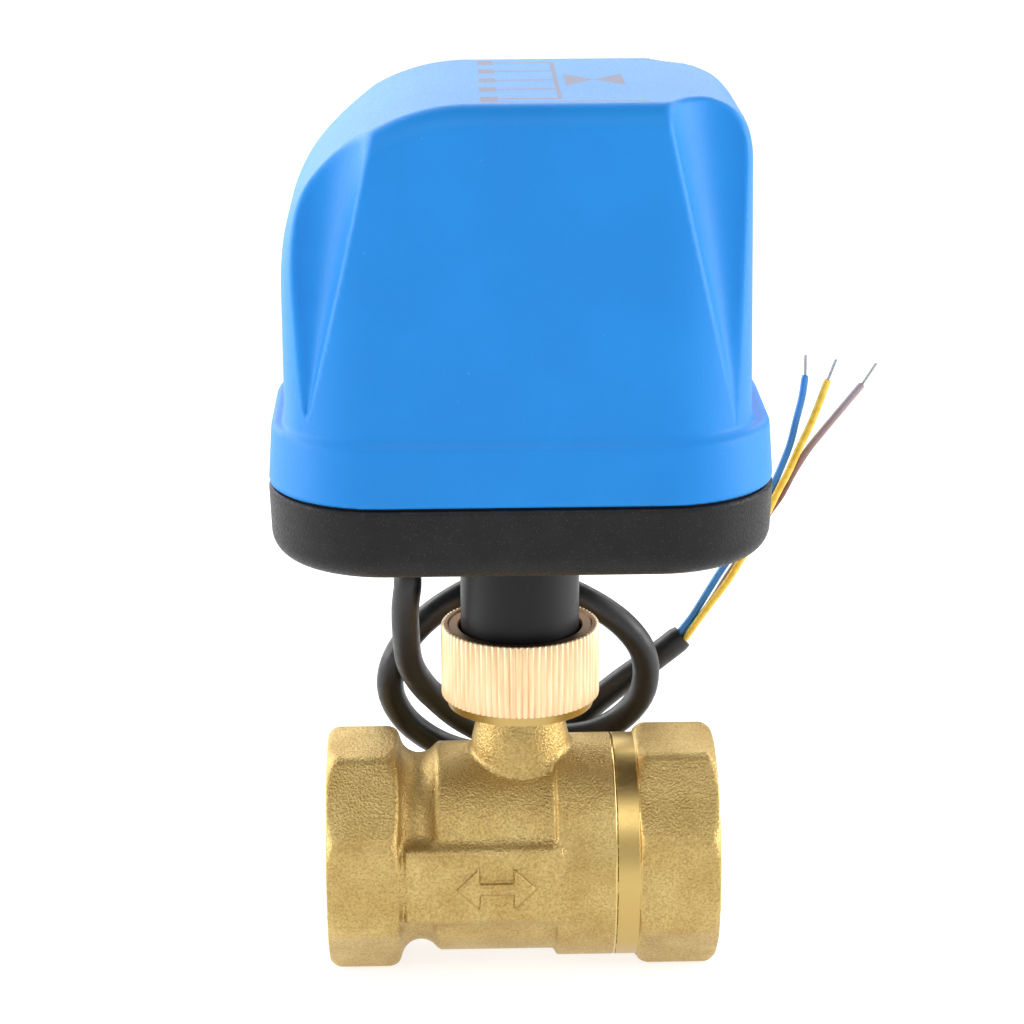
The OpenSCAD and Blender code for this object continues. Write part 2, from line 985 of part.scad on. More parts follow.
// Spur gear outline of module 1, with tooth number 0 centred on the angle given
module gear_outline(teeth, phase) {
    pitch_r = teeth / 2;
    base_r = pitch_r * cos(pressure_angle);
    root_r = pitch_r - 1.25;
    tip_r_gear = pitch_r + 0.95;
    half_tooth = 90 / teeth - tooth_clearance / pitch_r * 180 / PI + inv_angle(pressure_angle);
    start_r = max(root_r, base_r);
    radii = [for (k = [0 : 3]) start_r + (tip_r_gear - start_r) * k / 3];
    polygon([
        for (i = [0 : teeth - 1])
            let (mid = phase + 360 * i / teeth)
            each concat(
                [[root_r * cos(mid - half_tooth), root_r * sin(mid - half_tooth)]],
                [for (r = radii) involute_point(base_r, r, mid - half_tooth, 1)],
                [for (k = [3 : -1 : 0]) involute_point(base_r, radii[k], mid + half_tooth, -1)],
                [[root_r * cos(mid + half_tooth), root_r * sin(mid + half_tooth)]]
            )
    ]);
}

module output_gear() {
    color("ivory")
        difference() {
            union() {
                translate([0, 0, gear_z])
                    linear_extrude(gear_thickness)
                        gear_outline(gear_teeth, 0);
                rod_z(gear_z - 1.8, gear_z + eps, 7.5);
            }
            rod_z(gear_z - 2, gear_z + gear_thickness + eps, journal_r + bore_gap);
        }
}

module shaft_circlip() {
    low = gear_z + gear_thickness + 0.25;
    color("silver")
        difference() {
            tube_z(low, low + 0.7, 6.2, journal_r - 0.5);
            box_at([-1.5, -8, low - eps], [1.5, 0, low + 1]);
        }
}

module motor_pinion() {
    color("silver")
        translate([gear_centre, 0, 0]) {
            translate([0, 0, gear_z - 0.2])
                linear_extrude(gear_thickness + 0.4)
                    gear_outline(pinion_teeth, 180 + 180 / pinion_teeth);
            rod_z(gear_z, 106.5, 3);
        }
}

// ---- cable and cores ----

function unit(v) = v / norm(v);

// Direction of the route at point i, from its neighbours
function route_tangent(route, i) =
    unit(route[min(i + 1, len(route) - 1)] - route[max(i - 1, 0)]);

// One ring of a swept tube, square to the route
function ring(route, i, r, sides) =
    let (t = route_tangent(route, i),
         u = unit(cross(t, [0, 1, 0])),
         v = cross(t, u))
    [for (k = [0 : sides - 1])
        route[i] + r * (cos(360 * k / sides) * u + sin(360 * k / sides) * v)];

module swept_tube(route, r, sides) {
    count = len(route);
    rings = [for (i = [0 : count - 1]) each ring(route, i, r, sides)];
    walls = [
        for (i = [0 : count - 2], k = [0 : sides - 1])
            let (a = i * sides + k, b = i * sides + (k + 1) % sides)
            each [[a, b, b + sides], [a, b + sides, a + sides]]
    ];
    first_cap = [for (k = [sides - 1 : -1 : 0]) k];
    last_cap = [for (k = [0 : sides - 1]) (count - 1) * sides + k];
    polyhedron(points = rings, faces = concat(walls, [first_cap, last_cap]));
}

module power_cable() {
    color("#1a1a1c")
        swept_tube(cable_route, cable_d / 2, cable_sides);
}

module wire_blue() {
    color("steelblue")
        swept_tube(blue_route, core_d / 2, core_sides);
}

module wire_yellow_green() {
    color("gold")
        swept_tube(yellow_green_route, core_d / 2, core_sides);
}

module wire_brown() {
    color("saddlebrown")
        swept_tube(brown_route, core_d / 2, core_sides);
}

module tip_blue() {
    color("silver")
        swept_tube(blue_tip, tip_r, core_sides);
}

module tip_yellow_green() {
    color("silver")
        swept_tube(yellow_green_tip, tip_r, core_sides);
}

module tip_brown() {
    color("silver")
        swept_tube(brown_tip, tip_r, core_sides);
}

valve_body();
end_cap();
end_cap_seal();
seat_inlet();
seat_outlet();
thrust_washer();
ball();
stem();
stem_o_rings();
nut_slip_ring();
union_nut();
mounting_neck();
neck_screws();
actuator_base();
cover();
cover_gasket();
cover_screws();
shaft_bush();
gear_plate();
plate_standoffs();
plate_screws();
motor_can();
motor_screws();
switch_open_body();
switch_close_body();
switch_terminals();
switch_screws();
circuit_board();
relay();
capacitor();
terminal_block();
cable_gland();
cable_tie();
cable_inner_end();
output_shaft();
cam_lower();
cam_upper();
output_gear();
shaft_circlip();
motor_pinion();
plunger_open();
plunger_close();
power_cable();
wire_blue();
wire_yellow_green();
wire_brown();
tip_blue();
tip_yellow_green();
tip_brown();
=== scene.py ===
"""Looks of the motorised zone valve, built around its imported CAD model.

Shapes are worked out in millimetres, in the CAD's own frame, and become metres when a mesh is made.
"""
import json
import math

import bpy
import numpy as np
from mathutils import Matrix, Vector


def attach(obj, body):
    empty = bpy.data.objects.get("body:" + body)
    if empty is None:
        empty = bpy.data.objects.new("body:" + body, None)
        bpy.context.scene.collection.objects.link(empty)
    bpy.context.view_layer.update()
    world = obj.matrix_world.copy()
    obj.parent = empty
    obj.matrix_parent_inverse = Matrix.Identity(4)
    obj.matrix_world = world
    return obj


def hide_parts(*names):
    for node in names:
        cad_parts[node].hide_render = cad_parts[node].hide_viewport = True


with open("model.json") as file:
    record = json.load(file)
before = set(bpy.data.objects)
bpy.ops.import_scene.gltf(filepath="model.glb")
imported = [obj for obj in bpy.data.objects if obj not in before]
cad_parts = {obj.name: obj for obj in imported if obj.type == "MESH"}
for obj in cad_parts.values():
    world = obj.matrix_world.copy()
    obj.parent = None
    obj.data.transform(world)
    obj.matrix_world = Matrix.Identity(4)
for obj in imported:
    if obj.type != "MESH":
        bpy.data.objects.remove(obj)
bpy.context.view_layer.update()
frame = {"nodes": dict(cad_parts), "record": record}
SCENE = bpy.context.scene
SCENE.view_settings.view_transform = "Standard"
MM = 0.001
WHITE = (1, 1, 1, 1)
BLACK = (0, 0, 0, 1)
FRONT_GLOW = 0.66
REAR_GLOW = 0.22

# Sizes of the grid cells that the cast pieces are meshed on
VALVE_CELL = 0.45
BASE_CELL = 0.6
COVER_CELL = 0.8

# Stations of the valve, along the bore (X) and up the stem (Z)
AXIS_Z = 20.5
OCTAGON_HALF = 20.5
OCTAGON_CORNER = OCTAGON_HALF / math.cos(math.radians(22.5))
HALF_LENGTH = 35.0
BARREL_R = 19.0
CAP_R = 20.2
STEP_X = 5.85
GROOVE_X = -18.5
JOINT_X = 16.6
RING_END_X = 20.6
THREAD_R = 15.15
THREAD_DEPTH = 15.0
THREAD_HEIGHT = 1.48
THREAD_PITCH = 2.309
PAD_HALF = 7.1
PAD_Y = 19.9
ARROW_X = -4.8
BOSS_R = 7.6
BULGE_R = 8.9
BULGE_Z = 38.3
PORT_R = 10.0
SEAT_R = 14.6
BALL_ROOM_R = 16.3
SPIGOT_BORE_R = 17.5
SPIGOT_X = 8.2
STEM_HEAD_R = 7.0
STEM_R = 4.6
STEM_HEAD_Z = 39.3
COLLAR_R = 12.0
COLLAR_Z = 49.0
COLLAR_TOP_Z = 56.5

# Stations of the head
BASE_Z = 81.0
RIM_Z = 93.9
SKIRT_TOP_Z = 104.8
TOP_Z = 160.6
HEAD_HALF_X = 43.4
HEAD_HALF_Y = 31.5
CORNER_R = 20.0
COVER_RIM_Z = 94.0
COVER_LEFT = -41.5
COVER_RIGHT = 40.5
FLUTE_Z = 109.0
FLUTE_FOOT_X = 35.8
FLUTE_FOOT_Y = 24.4
FLUTE_TOP_X = 36.6
FLUTE_TOP_Y = 30.5
FLUTE_TOP_R = 13.2
MARK_X = 7.0
MARK_Y = 0.0
FLOOR_Z = 84.0
WALL = 2.2
SCREW_X = 33.0
SCREW_Y = 21.0
GLAND_X = -20.0
GLAND_Z = 73.0
GLAND_R = 4.15
NECK_R = 10.65
POST_R = 4.2
SCREW_HEAD_R = 3.1
SCREW_HEAD_Z = 86.5

# Union nut
NUT_Z = 48.3
KNURL_Z = 50.2
NUT_LIP_Z = 59.2
NUT_TOP_Z = 63.4
NUT_R = 14.2
NUT_BORE_R = 12.6
NUT_LIP_R = 10.95
KNURL_TEETH = 78

# Cable and cores: diameters, and routes from exit to end
CABLE_D = 5.0
CORE_D = 1.4
CABLE_ROUTE = [
    (-20, 0, 73), (-20, 0, 70.5), (-20.5, 1.5, 66), (-20.5, 4, 60), (-20, 7.5, 53.5), (-18, 11.5, 48),
    (-15, 14.5, 43.5), (-11, 17, 39), (-6, 18.5, 35.5), (0, 18.5, 33.5), (7, 19.5, 33.5),
    (14, 19.5, 34.5), (19.5, 19.5, 37.5), (23, 19, 42), (24, 18.5, 47), (23, 17.5, 52),
    (20, 16.5, 56.5), (16, 16, 60), (11, 16, 63), (5.5, 17, 65), (-1, 17.5, 65.5),
    (-7, 17, 64.5), (-12.5, 16, 62), (-17.5, 15, 58.5), (-21.5, 14, 54), (-23.5, 14.5, 49),
    (-23.5, 16, 44), (-21.5, 18, 39), (-18, 20.5, 34.5), (-13, 22, 31), (-7, 23, 29),
    (-0.5, 24, 29), (5.5, 25, 31), (11, 26, 34.5), (15.5, 26.5, 38.5), (20, 27, 42),
    (25, 27.5, 45.5), (31.5, 28, 50.5),
]
BLUE_ROUTE = [
    (30.9, 28, 51.2), (33.5, 28.5, 54.5), (36, 29, 58.5), (38.5, 29.5, 62.5), (41, 29.5, 66.5),
    (43.5, 29.5, 70.5), (45.5, 29.5, 74.5), (48, 29.5, 79), (50, 30, 83.5), (51.5, 30.5, 87.5),
    (52.5, 30.5, 92), (53.5, 30.5, 96.5), (54, 30.5, 100.5),
]
YELLOW_GREEN_ROUTE = [
    (31.8, 27.2, 50.1), (34.5, 27.5, 54), (37.5, 28, 58), (40, 28, 61.5), (42.5, 28.5, 65.5),
    (45, 28.5, 69.5), (47, 28.5, 74), (49, 28.5, 78.5), (51, 28.5, 82.5), (53, 29, 87),
    (55, 29, 91.5), (56.5, 29, 95.5), (58, 29, 100),
]
BROWN_ROUTE = [
    (31.8, 28.8, 50.1), (35, 30, 53.5), (37.5, 30.5, 57), (40, 31, 61), (42.5, 31, 65),
    (45, 31, 69.5), (47.5, 31, 73.5), (50, 30.5, 77.5), (52, 30.5, 81.5), (54.5, 30, 86),
    (57.5, 30, 90), (60.5, 29.5, 94), (64.5, 29.5, 99),
]
CORES = {
    "wire_blue": (BLUE_ROUTE, "tip_blue", (54, 30.5, 104.5)),
    "wire_yellow_green": (YELLOW_GREEN_ROUTE, "tip_yellow_green", (59.5, 29, 104)),
    "wire_brown": (BROWN_ROUTE, "tip_brown", (67, 29.5, 103)),
}


# ---------------------------------------------------------------- stage and camera

def look_from(place, yaw, pitch, roll):
    """Rotation of a camera at that place, turned right by yaw, down by pitch, and rolled."""
    ahead = Vector((math.sin(yaw) * math.cos(pitch), math.cos(yaw) * math.cos(pitch), -math.sin(pitch)))
    turn = ahead.to_track_quat("-Z", "Y").to_matrix().to_4x4()
    turn @= Matrix.Rotation(roll, 4, "Z")
    turn.translation = place
    return turn


def make_camera():
    data = bpy.data.cameras.new("camera")
    data.lens = 105.0
    data.sensor_width = 36.0
    data.clip_end = 20
    camera = bpy.data.objects.new("camera", data)
    SCENE.collection.objects.link(camera)
    place = Vector((-12.98, -506.03, 237.78)) * MM
    yaw, pitch, roll = (math.radians(degrees) for degrees in (1.321, 16.898, -0.322))
    camera.matrix_world = look_from(place, yaw, pitch, roll)
    SCENE.camera = camera


def area_light(name, place, target, size, power):
    data = bpy.data.lights.new(name, "AREA")
    data.shape = "RECTANGLE"
    data.size, data.size_y = size
    data.energy = power
    lamp = bpy.data.objects.new(name, data)
    lamp.location = place
    lamp.rotation_euler = (Vector(target) - Vector(place)).to_track_quat("-Z", "Y").to_euler()
    SCENE.collection.objects.link(lamp)


def make_world():
    """Studio surroundings: white as seen, and lighting the part from all round but the rear."""
    world = bpy.data.worlds.new("studio")
    world.use_nodes = True
    SCENE.world = world
    nodes, links = world.node_tree.nodes, world.node_tree.links
    rearward = nodes.new("ShaderNodeVectorMath")
    rearward.operation = "DOT_PRODUCT"
    rearward.inputs[1].default_value = (0, 0.9, 0.44)
    links.new(nodes.new("ShaderNodeTexCoord").outputs["Generated"], rearward.inputs[0])
    ramp = nodes.new("ShaderNodeValToRGB")
    ends = ramp.color_ramp.elements
    ends[0].position, ends[0].color = 0.5, (FRONT_GLOW, FRONT_GLOW, FRONT_GLOW, 1)
    ends[1].position, ends[1].color = 0.85, (REAR_GLOW, REAR_GLOW, REAR_GLOW, 1)
    links.new(rearward.outputs["Value"], ramp.inputs["Fac"])
    backdrop = nodes.new("ShaderNodeMix")
    backdrop.data_type = "RGBA"
    seen, lighting, white = [socket for socket in backdrop.inputs if socket.enabled]
    white.default_value = WHITE
    links.new(nodes.new("ShaderNodeLightPath").outputs["Is Camera Ray"], seen)
    links.new(ramp.outputs["Color"], lighting)
    colour = [socket for socket in backdrop.outputs if socket.enabled][0]
    links.new(colour, nodes["Background"].inputs["Color"])


def make_floor():
    size = 6.0
    mesh = bpy.data.meshes.new("floor")
    corners = [(-size, -size, 0), (size, -size, 0), (size, size, 0), (-size, size, 0)]
    mesh.from_pydata(corners, [], [(0, 1, 2, 3)])
    floor = bpy.data.objects.new("floor", mesh)
    SCENE.collection.objects.link(floor)
    paint = bpy.data.materials.new("pale_floor")
    paint.use_nodes = True
    shader = paint.node_tree.nodes["Principled BSDF"]
    shader.inputs["Base Color"].default_value = (0.45, 0.45, 0.45, 1)
    shader.inputs["Roughness"].default_value = 0.9
    shader.inputs["Emission Color"].default_value = WHITE
    shader.inputs["Emission Strength"].default_value = 0.76
    floor.data.materials.append(paint)
    floor.location.z = -0.0002


def make_stage():
    make_world()
    make_floor()
    centre = (0, 0, 0.1)
    area_light("back", (0, 0.32, 0.31), (0, 0, 0.16), (0.8, 0.24), 1.9)
    area_light("left", (-0.75, 0.5, 0.33), centre, (0.9, 0.9), 7)
    area_light("right", (0.9, 0.15, 0.3), centre, (0.7, 0.9), 5)
    area_light("above", (-0.1, -0.6, 0.72), centre, (0.7, 0.4), 1.9)
    area_light("left side", (-0.9, -0.06, 0.19), (0, 0, 0.12), (0.45, 0.36), 3.0)
    area_light("right side", (0.9, -0.1, 0.19), (0, 0, 0.12), (0.45, 0.36), 2.8)
    area_light("behind left", (-0.35, 1.0, 0.2), (0, 0, 0.14), (0.6, 0.24), 0.5)


# ---------------------------------------------------------------- fields (all in millimetres)

def blend_max(a, b, r):
    """Intersection of two fields with a rounded edge of radius r."""
    return np.minimum(-r, np.maximum(a, b)) + np.hypot(np.maximum(r + a, 0), np.maximum(r + b, 0))


def blend_min(a, b, r):
    """Union of two fields with a fillet of radius r."""
    return -blend_max(-a, -b, r)


def rounded_plan(x, y, half_x, half_y, r):
    """Signed distance to a rounded rectangle seen from above."""
    qx = np.abs(x) - (half_x - r)
    qy = np.abs(y) - (half_y - r)
    return np.hypot(np.maximum(qx, 0), np.maximum(qy, 0)) + np.minimum(np.maximum(qx, qy), 0) - r


def slab(value, low, high):
    """Signed distance to the space between two parallel planes."""
    return np.maximum(low - value, value - high)


# ---------------------------------------------------------------- meshing of fields

def cell_edges():
    """Start and end corners of the twelve edges of a grid cell, by axis."""
    edges = []
    for axis in range(3):
        for second in (0, 1):
            for first in (0, 1):
                start = [first, second]
                start.insert(axis, 0)
                end = list(start)
                end[axis] = 1
                edges.append((start, end))
    return edges


def gradient(field, points, step=0.02):
    """Gradient of a field at an array of points."""
    x, y, z = points.T
    return np.stack([
        field(x + step, y, z) - field(x - step, y, z),
        field(x, y + step, z) - field(x, y - step, z),
        field(x, y, z + step) - field(x, y, z - step)], axis=1) / (2 * step)


def onto_surface(field, points, rounds=3):
    """Moves points onto the zero level of the field."""
    for _ in range(rounds):
        slope = gradient(field, points)
        value = field(*points.T)
        length = np.maximum((slope ** 2).sum(1), 0.25)
        points = points - slope * np.clip(value / length, -0.6, 0.6)[:, None]
    return points


def surface_of(field, low, high, cell):
    """Quads of the zero level of a field, one vertex in each grid cell that the surface crosses."""
    axes = [np.arange(a, b + cell, cell) for a, b in zip(low, high)]
    grid = np.meshgrid(*axes, indexing="ij")
    value = field(*grid)
    inside = value < 0
    nx, ny, nz = value.shape

    def part(array, corner):
        i, j, k = corner
        return array[i:nx - 1 + i, j:ny - 1 + j, k:nz - 1 + k]

    crossings = np.zeros((nx - 1, ny - 1, nz - 1), np.int8)
    total = np.zeros((nx - 1, ny - 1, nz - 1, 3), np.float32)
    for start, end in cell_edges():
        a, b = part(value, start), part(value, end)
        cut = part(inside, start) != part(inside, end)
        with np.errstate(divide="ignore", invalid="ignore"):
            t = np.where(cut, a / (a - b), 0)
        for axis in range(3):
            offset = start[axis] + (end[axis] - start[axis]) * t
            total[..., axis] += np.where(cut, offset, 0)
        crossings += cut
    cells = np.argwhere(crossings > 0)
    number = np.full(crossings.shape, -1, np.int64)
    number[tuple(cells.T)] = np.arange(len(cells))
    offsets = total[tuple(cells.T)] / crossings[tuple(cells.T)][:, None]
    points = np.array(low) + (cells + offsets) * cell
    quads = []
    for axis in range(3):
        u, v = (axis + 1) % 3, (axis + 2) % 3
        lead = [slice(None)] * 3
        lead[axis] = slice(0, -1)
        follow = [slice(None)] * 3
        follow[axis] = slice(1, None)
        first, second = inside[tuple(lead)], inside[tuple(follow)]
        for entering in (True, False):
            at = np.argwhere((first == entering) & (second != entering))
            at = at[(at[:, u] > 0) & (at[:, v] > 0)]
            at = at[(at[:, u] < inside.shape[u] - 1) & (at[:, v] < inside.shape[v] - 1)]
            around = []
            for du, dv in ((-1, -1), (0, -1), (0, 0), (-1, 0)):
                cell_at = at.copy()
                cell_at[:, u] += du
                cell_at[:, v] += dv
                around.append(number[tuple(cell_at.T)])
            corners = np.stack(around, axis=1)
            quads.append(corners if entering else corners[:, ::-1])
    return points, np.concatenate(quads)


def relaxed(field, points, quads, rounds=2):
    """Evens out the quads while keeping the points on the surface."""
    edges = np.concatenate([quads[:, [i, (i + 1) % 4]] for i in range(4)])
    weight = np.bincount(edges.ravel(), minlength=len(points))
    for _ in range(rounds):
        middle = np.zeros_like(points)
        for axis in range(3):
            middle[:, axis] = (np.bincount(edges[:, 0], points[edges[:, 1], axis], len(points))
                               + np.bincount(edges[:, 1], points[edges[:, 0], axis], len(points)))
        middle /= np.maximum(weight, 1)[:, None]
        points = onto_surface(field, points + 0.5 * (middle - points), 2)
    return onto_surface(field, points, 3)


def object_from(name, points, faces, normals=None):
    """Mesh object from points in millimetres; each array in faces holds faces with equal sides."""
    mesh = bpy.data.meshes.new(name)
    loops = np.concatenate([group.ravel() for group in faces])
    sides = np.concatenate([np.full(len(group), group.shape[1]) for group in faces])
    mesh.vertices.add(len(points))
    mesh.vertices.foreach_set("co", (points * MM).astype(np.float32).ravel())
    mesh.loops.add(len(loops))
    mesh.loops.foreach_set("vertex_index", loops.astype(np.int32))
    mesh.polygons.add(len(sides))
    mesh.polygons.foreach_set("loop_start", (np.cumsum(sides) - sides).astype(np.int32))
    mesh.polygons.foreach_set("use_smooth", np.ones(len(sides), bool))
    mesh.update(calc_edges=True)
    mesh.validate()
    if normals is not None:
        mesh.normals_split_custom_set_from_vertices(normals.astype(np.float32).tolist())
    made = bpy.data.objects.new(name, mesh)
    SCENE.collection.objects.link(made)
    return made


def cast(name, field, low, high, cell, snap=None):
    """Closed mesh object of a field; snap moves the points that lie near a crisp edge onto it."""
    points, quads = surface_of(field, low, high, cell)
    points = relaxed(field, points, quads)
    if snap is not None:
        points = snap(points)
    slope = gradient(field, points, 0.05)
    normals = slope / np.maximum(np.linalg.norm(slope, axis=1), 1e-6)[:, None]
    return object_from(name, points, [quads], normals)


def turned(name, profile, centre=(0.0, 0.0), segments=160, shift=None):
    """Ring turned about a vertical axis from a closed outline of (radius, height) points.

    shift(angle, radius, height) gives how far each point moves outwards."""
    rows = len(profile)
    angle = np.arange(segments) * 2 * math.pi / segments
    columns = np.array(profile, float).T
    radius, height = (np.repeat(column[:, None], segments, 1) for column in columns)
    if shift is not None:
        radius = radius + shift(angle[None, :], radius, height)
    x = centre[0] + radius * np.cos(angle)
    y = centre[1] + radius * np.sin(angle)
    points = np.stack([x, y, height], axis=2)
    row, column = np.meshgrid(np.arange(rows), np.arange(segments), indexing="ij")
    row_after = (row + 1) % rows
    column_after = (column + 1) % segments
    quads = np.stack([row * segments + column, row * segments + column_after,
                      row_after * segments + column_after, row_after * segments + column], axis=2)
    made = object_from(name, points.reshape(-1, 3), [quads.reshape(-1, 4)])
    made.data.set_sharp_from_angle(angle=math.radians(35))
    return made


def rounded_outline(corners, r, steps=4):
    """Closed outline with its corners cut back by r and rounded."""
    outline = []
    count = len(corners)
    for index in range(count):
        before, corner, after = (np.array(corners[(index + k) % count], float) for k in (-1, 0, 1))
        back = (before - corner) / np.linalg.norm(before - corner)
        ahead = (after - corner) / np.linalg.norm(after - corner)
        reach = min(r, np.linalg.norm(before - corner) / 2, np.linalg.norm(after - corner) / 2)
        start, end = corner + back * reach, corner + ahead * reach
        for step in range(steps + 1):
            t = step / steps
            outline.append(tuple((1 - t) ** 2 * start + 2 * t * (1 - t) * corner + t ** 2 * end))
    return outline


# ---------------------------------------------------------------- tubes

def smooth_route(points, step):
    """Catmull-Rom curve through the points, with a sample about every step millimetres."""
    points = np.array(points, float)
    padded = np.vstack([2 * points[0] - points[1], points, 2 * points[-1] - points[-2]])
    line = []
    for index in range(len(points) - 1):
        p0, p1, p2, p3 = padded[index:index + 4]
        count = max(1, round(np.linalg.norm(p2 - p1) / step))
        for t in np.arange(count) / count:
            line.append(0.5 * (2 * p1 + (p2 - p0) * t + (2 * p0 - 5 * p1 + 4 * p2 - p3) * t ** 2
                               + (3 * p1 - p0 - 3 * p2 + p3) * t ** 3))
    line.append(points[-1])
    return np.array(line)


def along_line(line):
    """Distance travelled at each point of a line."""
    return np.concatenate([[0.0], np.cumsum(np.linalg.norm(np.diff(line, axis=0), axis=1))])


def frames_of(line):
    """Two directions across the line at each of its points, carried along it without twist."""
    ahead = np.gradient(line, axis=0)
    ahead /= np.linalg.norm(ahead, axis=1)[:, None]
    side = np.cross(ahead[0], (0.0, 1.0, 0.0))
    sides = []
    for direction in ahead:
        side = side - direction * side.dot(direction)
        side = side / np.linalg.norm(side)
        sides.append(side)
    sides = np.array(sides)
    return sides, np.cross(ahead, sides)


def tube_of(line, radius, sides):
    """Points and faces of a closed tube along a line, with softened ends."""
    across, up = frames_of(line)
    angle = np.arange(sides) * 2 * math.pi / sides
    cosine, sine = np.cos(angle)[None, :, None], np.sin(angle)[None, :, None]
    ring = cosine * across[:, None, :] + sine * up[:, None, :]
    size = np.full(len(line), float(radius))
    size[[0, -1]] *= 0.9
    points = (line[:, None, :] + size[:, None, None] * ring).reshape(-1, 3)
    row, column = np.meshgrid(np.arange(len(line) - 1), np.arange(sides), indexing="ij")
    after = (column + 1) % sides
    quads = np.stack([row * sides + column, row * sides + after,
                      (row + 1) * sides + after, (row + 1) * sides + column], axis=2).reshape(-1, 4)
    caps = np.array([np.arange(sides)[::-1], (len(line) - 1) * sides + np.arange(sides)])
    return points, quads, caps


def tube(name, line, radius, sides, stripe_pitch=None):
    """Tube object; with a stripe pitch it also carries an attribute that winds around it."""
    points, quads, caps = tube_of(line, radius, sides)
    made = object_from(name, points, [quads, caps])
    made.data.set_sharp_from_angle(angle=math.radians(50))
    if stripe_pitch:
        angle = np.arange(sides) * 2 * math.pi / sides
        wind = np.cos(angle[None, :] - 2 * math.pi * along_line(line)[:, None] / stripe_pitch)
        attribute = made.data.attributes.new("stripe", "FLOAT", "POINT")
        attribute.data.foreach_set("value", wind.ravel().astype(np.float32))
    return made


def strands(name, start, end, radius, count=6):
    """Twisted strands between two points: one in the middle and count around it."""
    start, end = np.array(start, float), np.array(end, float)
    length = np.linalg.norm(end - start)
    strand_r = radius / 3
    t = np.linspace(0, 1, 24)
    middle = start + (end - start) * t[:, None]
    across, up = frames_of(middle)
    points, quads, caps, first = [], [], [], 0
    for index in range(count + 1):
        turn = 2 * math.pi * (index / count + t * length / 5.0)
        spread = 0.0 if index == count else 2 * strand_r
        line = middle + spread * (np.cos(turn)[:, None] * across + np.sin(turn)[:, None] * up)
        tube_points, tube_quads, tube_caps = tube_of(line, strand_r, 8)
        points.append(tube_points)
        quads.append(tube_quads + first)
        caps.append(tube_caps + first)
        first += len(tube_points)
    return object_from(name, np.concatenate(points), [np.concatenate(quads), np.concatenate(caps)])


# ---------------------------------------------------------------- materials

def linear(red, green, blue):
    """Linear colour of an 8-bit display colour."""
    shares = [value / 255 for value in (red, green, blue)]
    return tuple(v / 12.92 if v <= 0.04045 else ((v + 0.055) / 1.055) ** 2.4 for v in shares) + (1.0,)


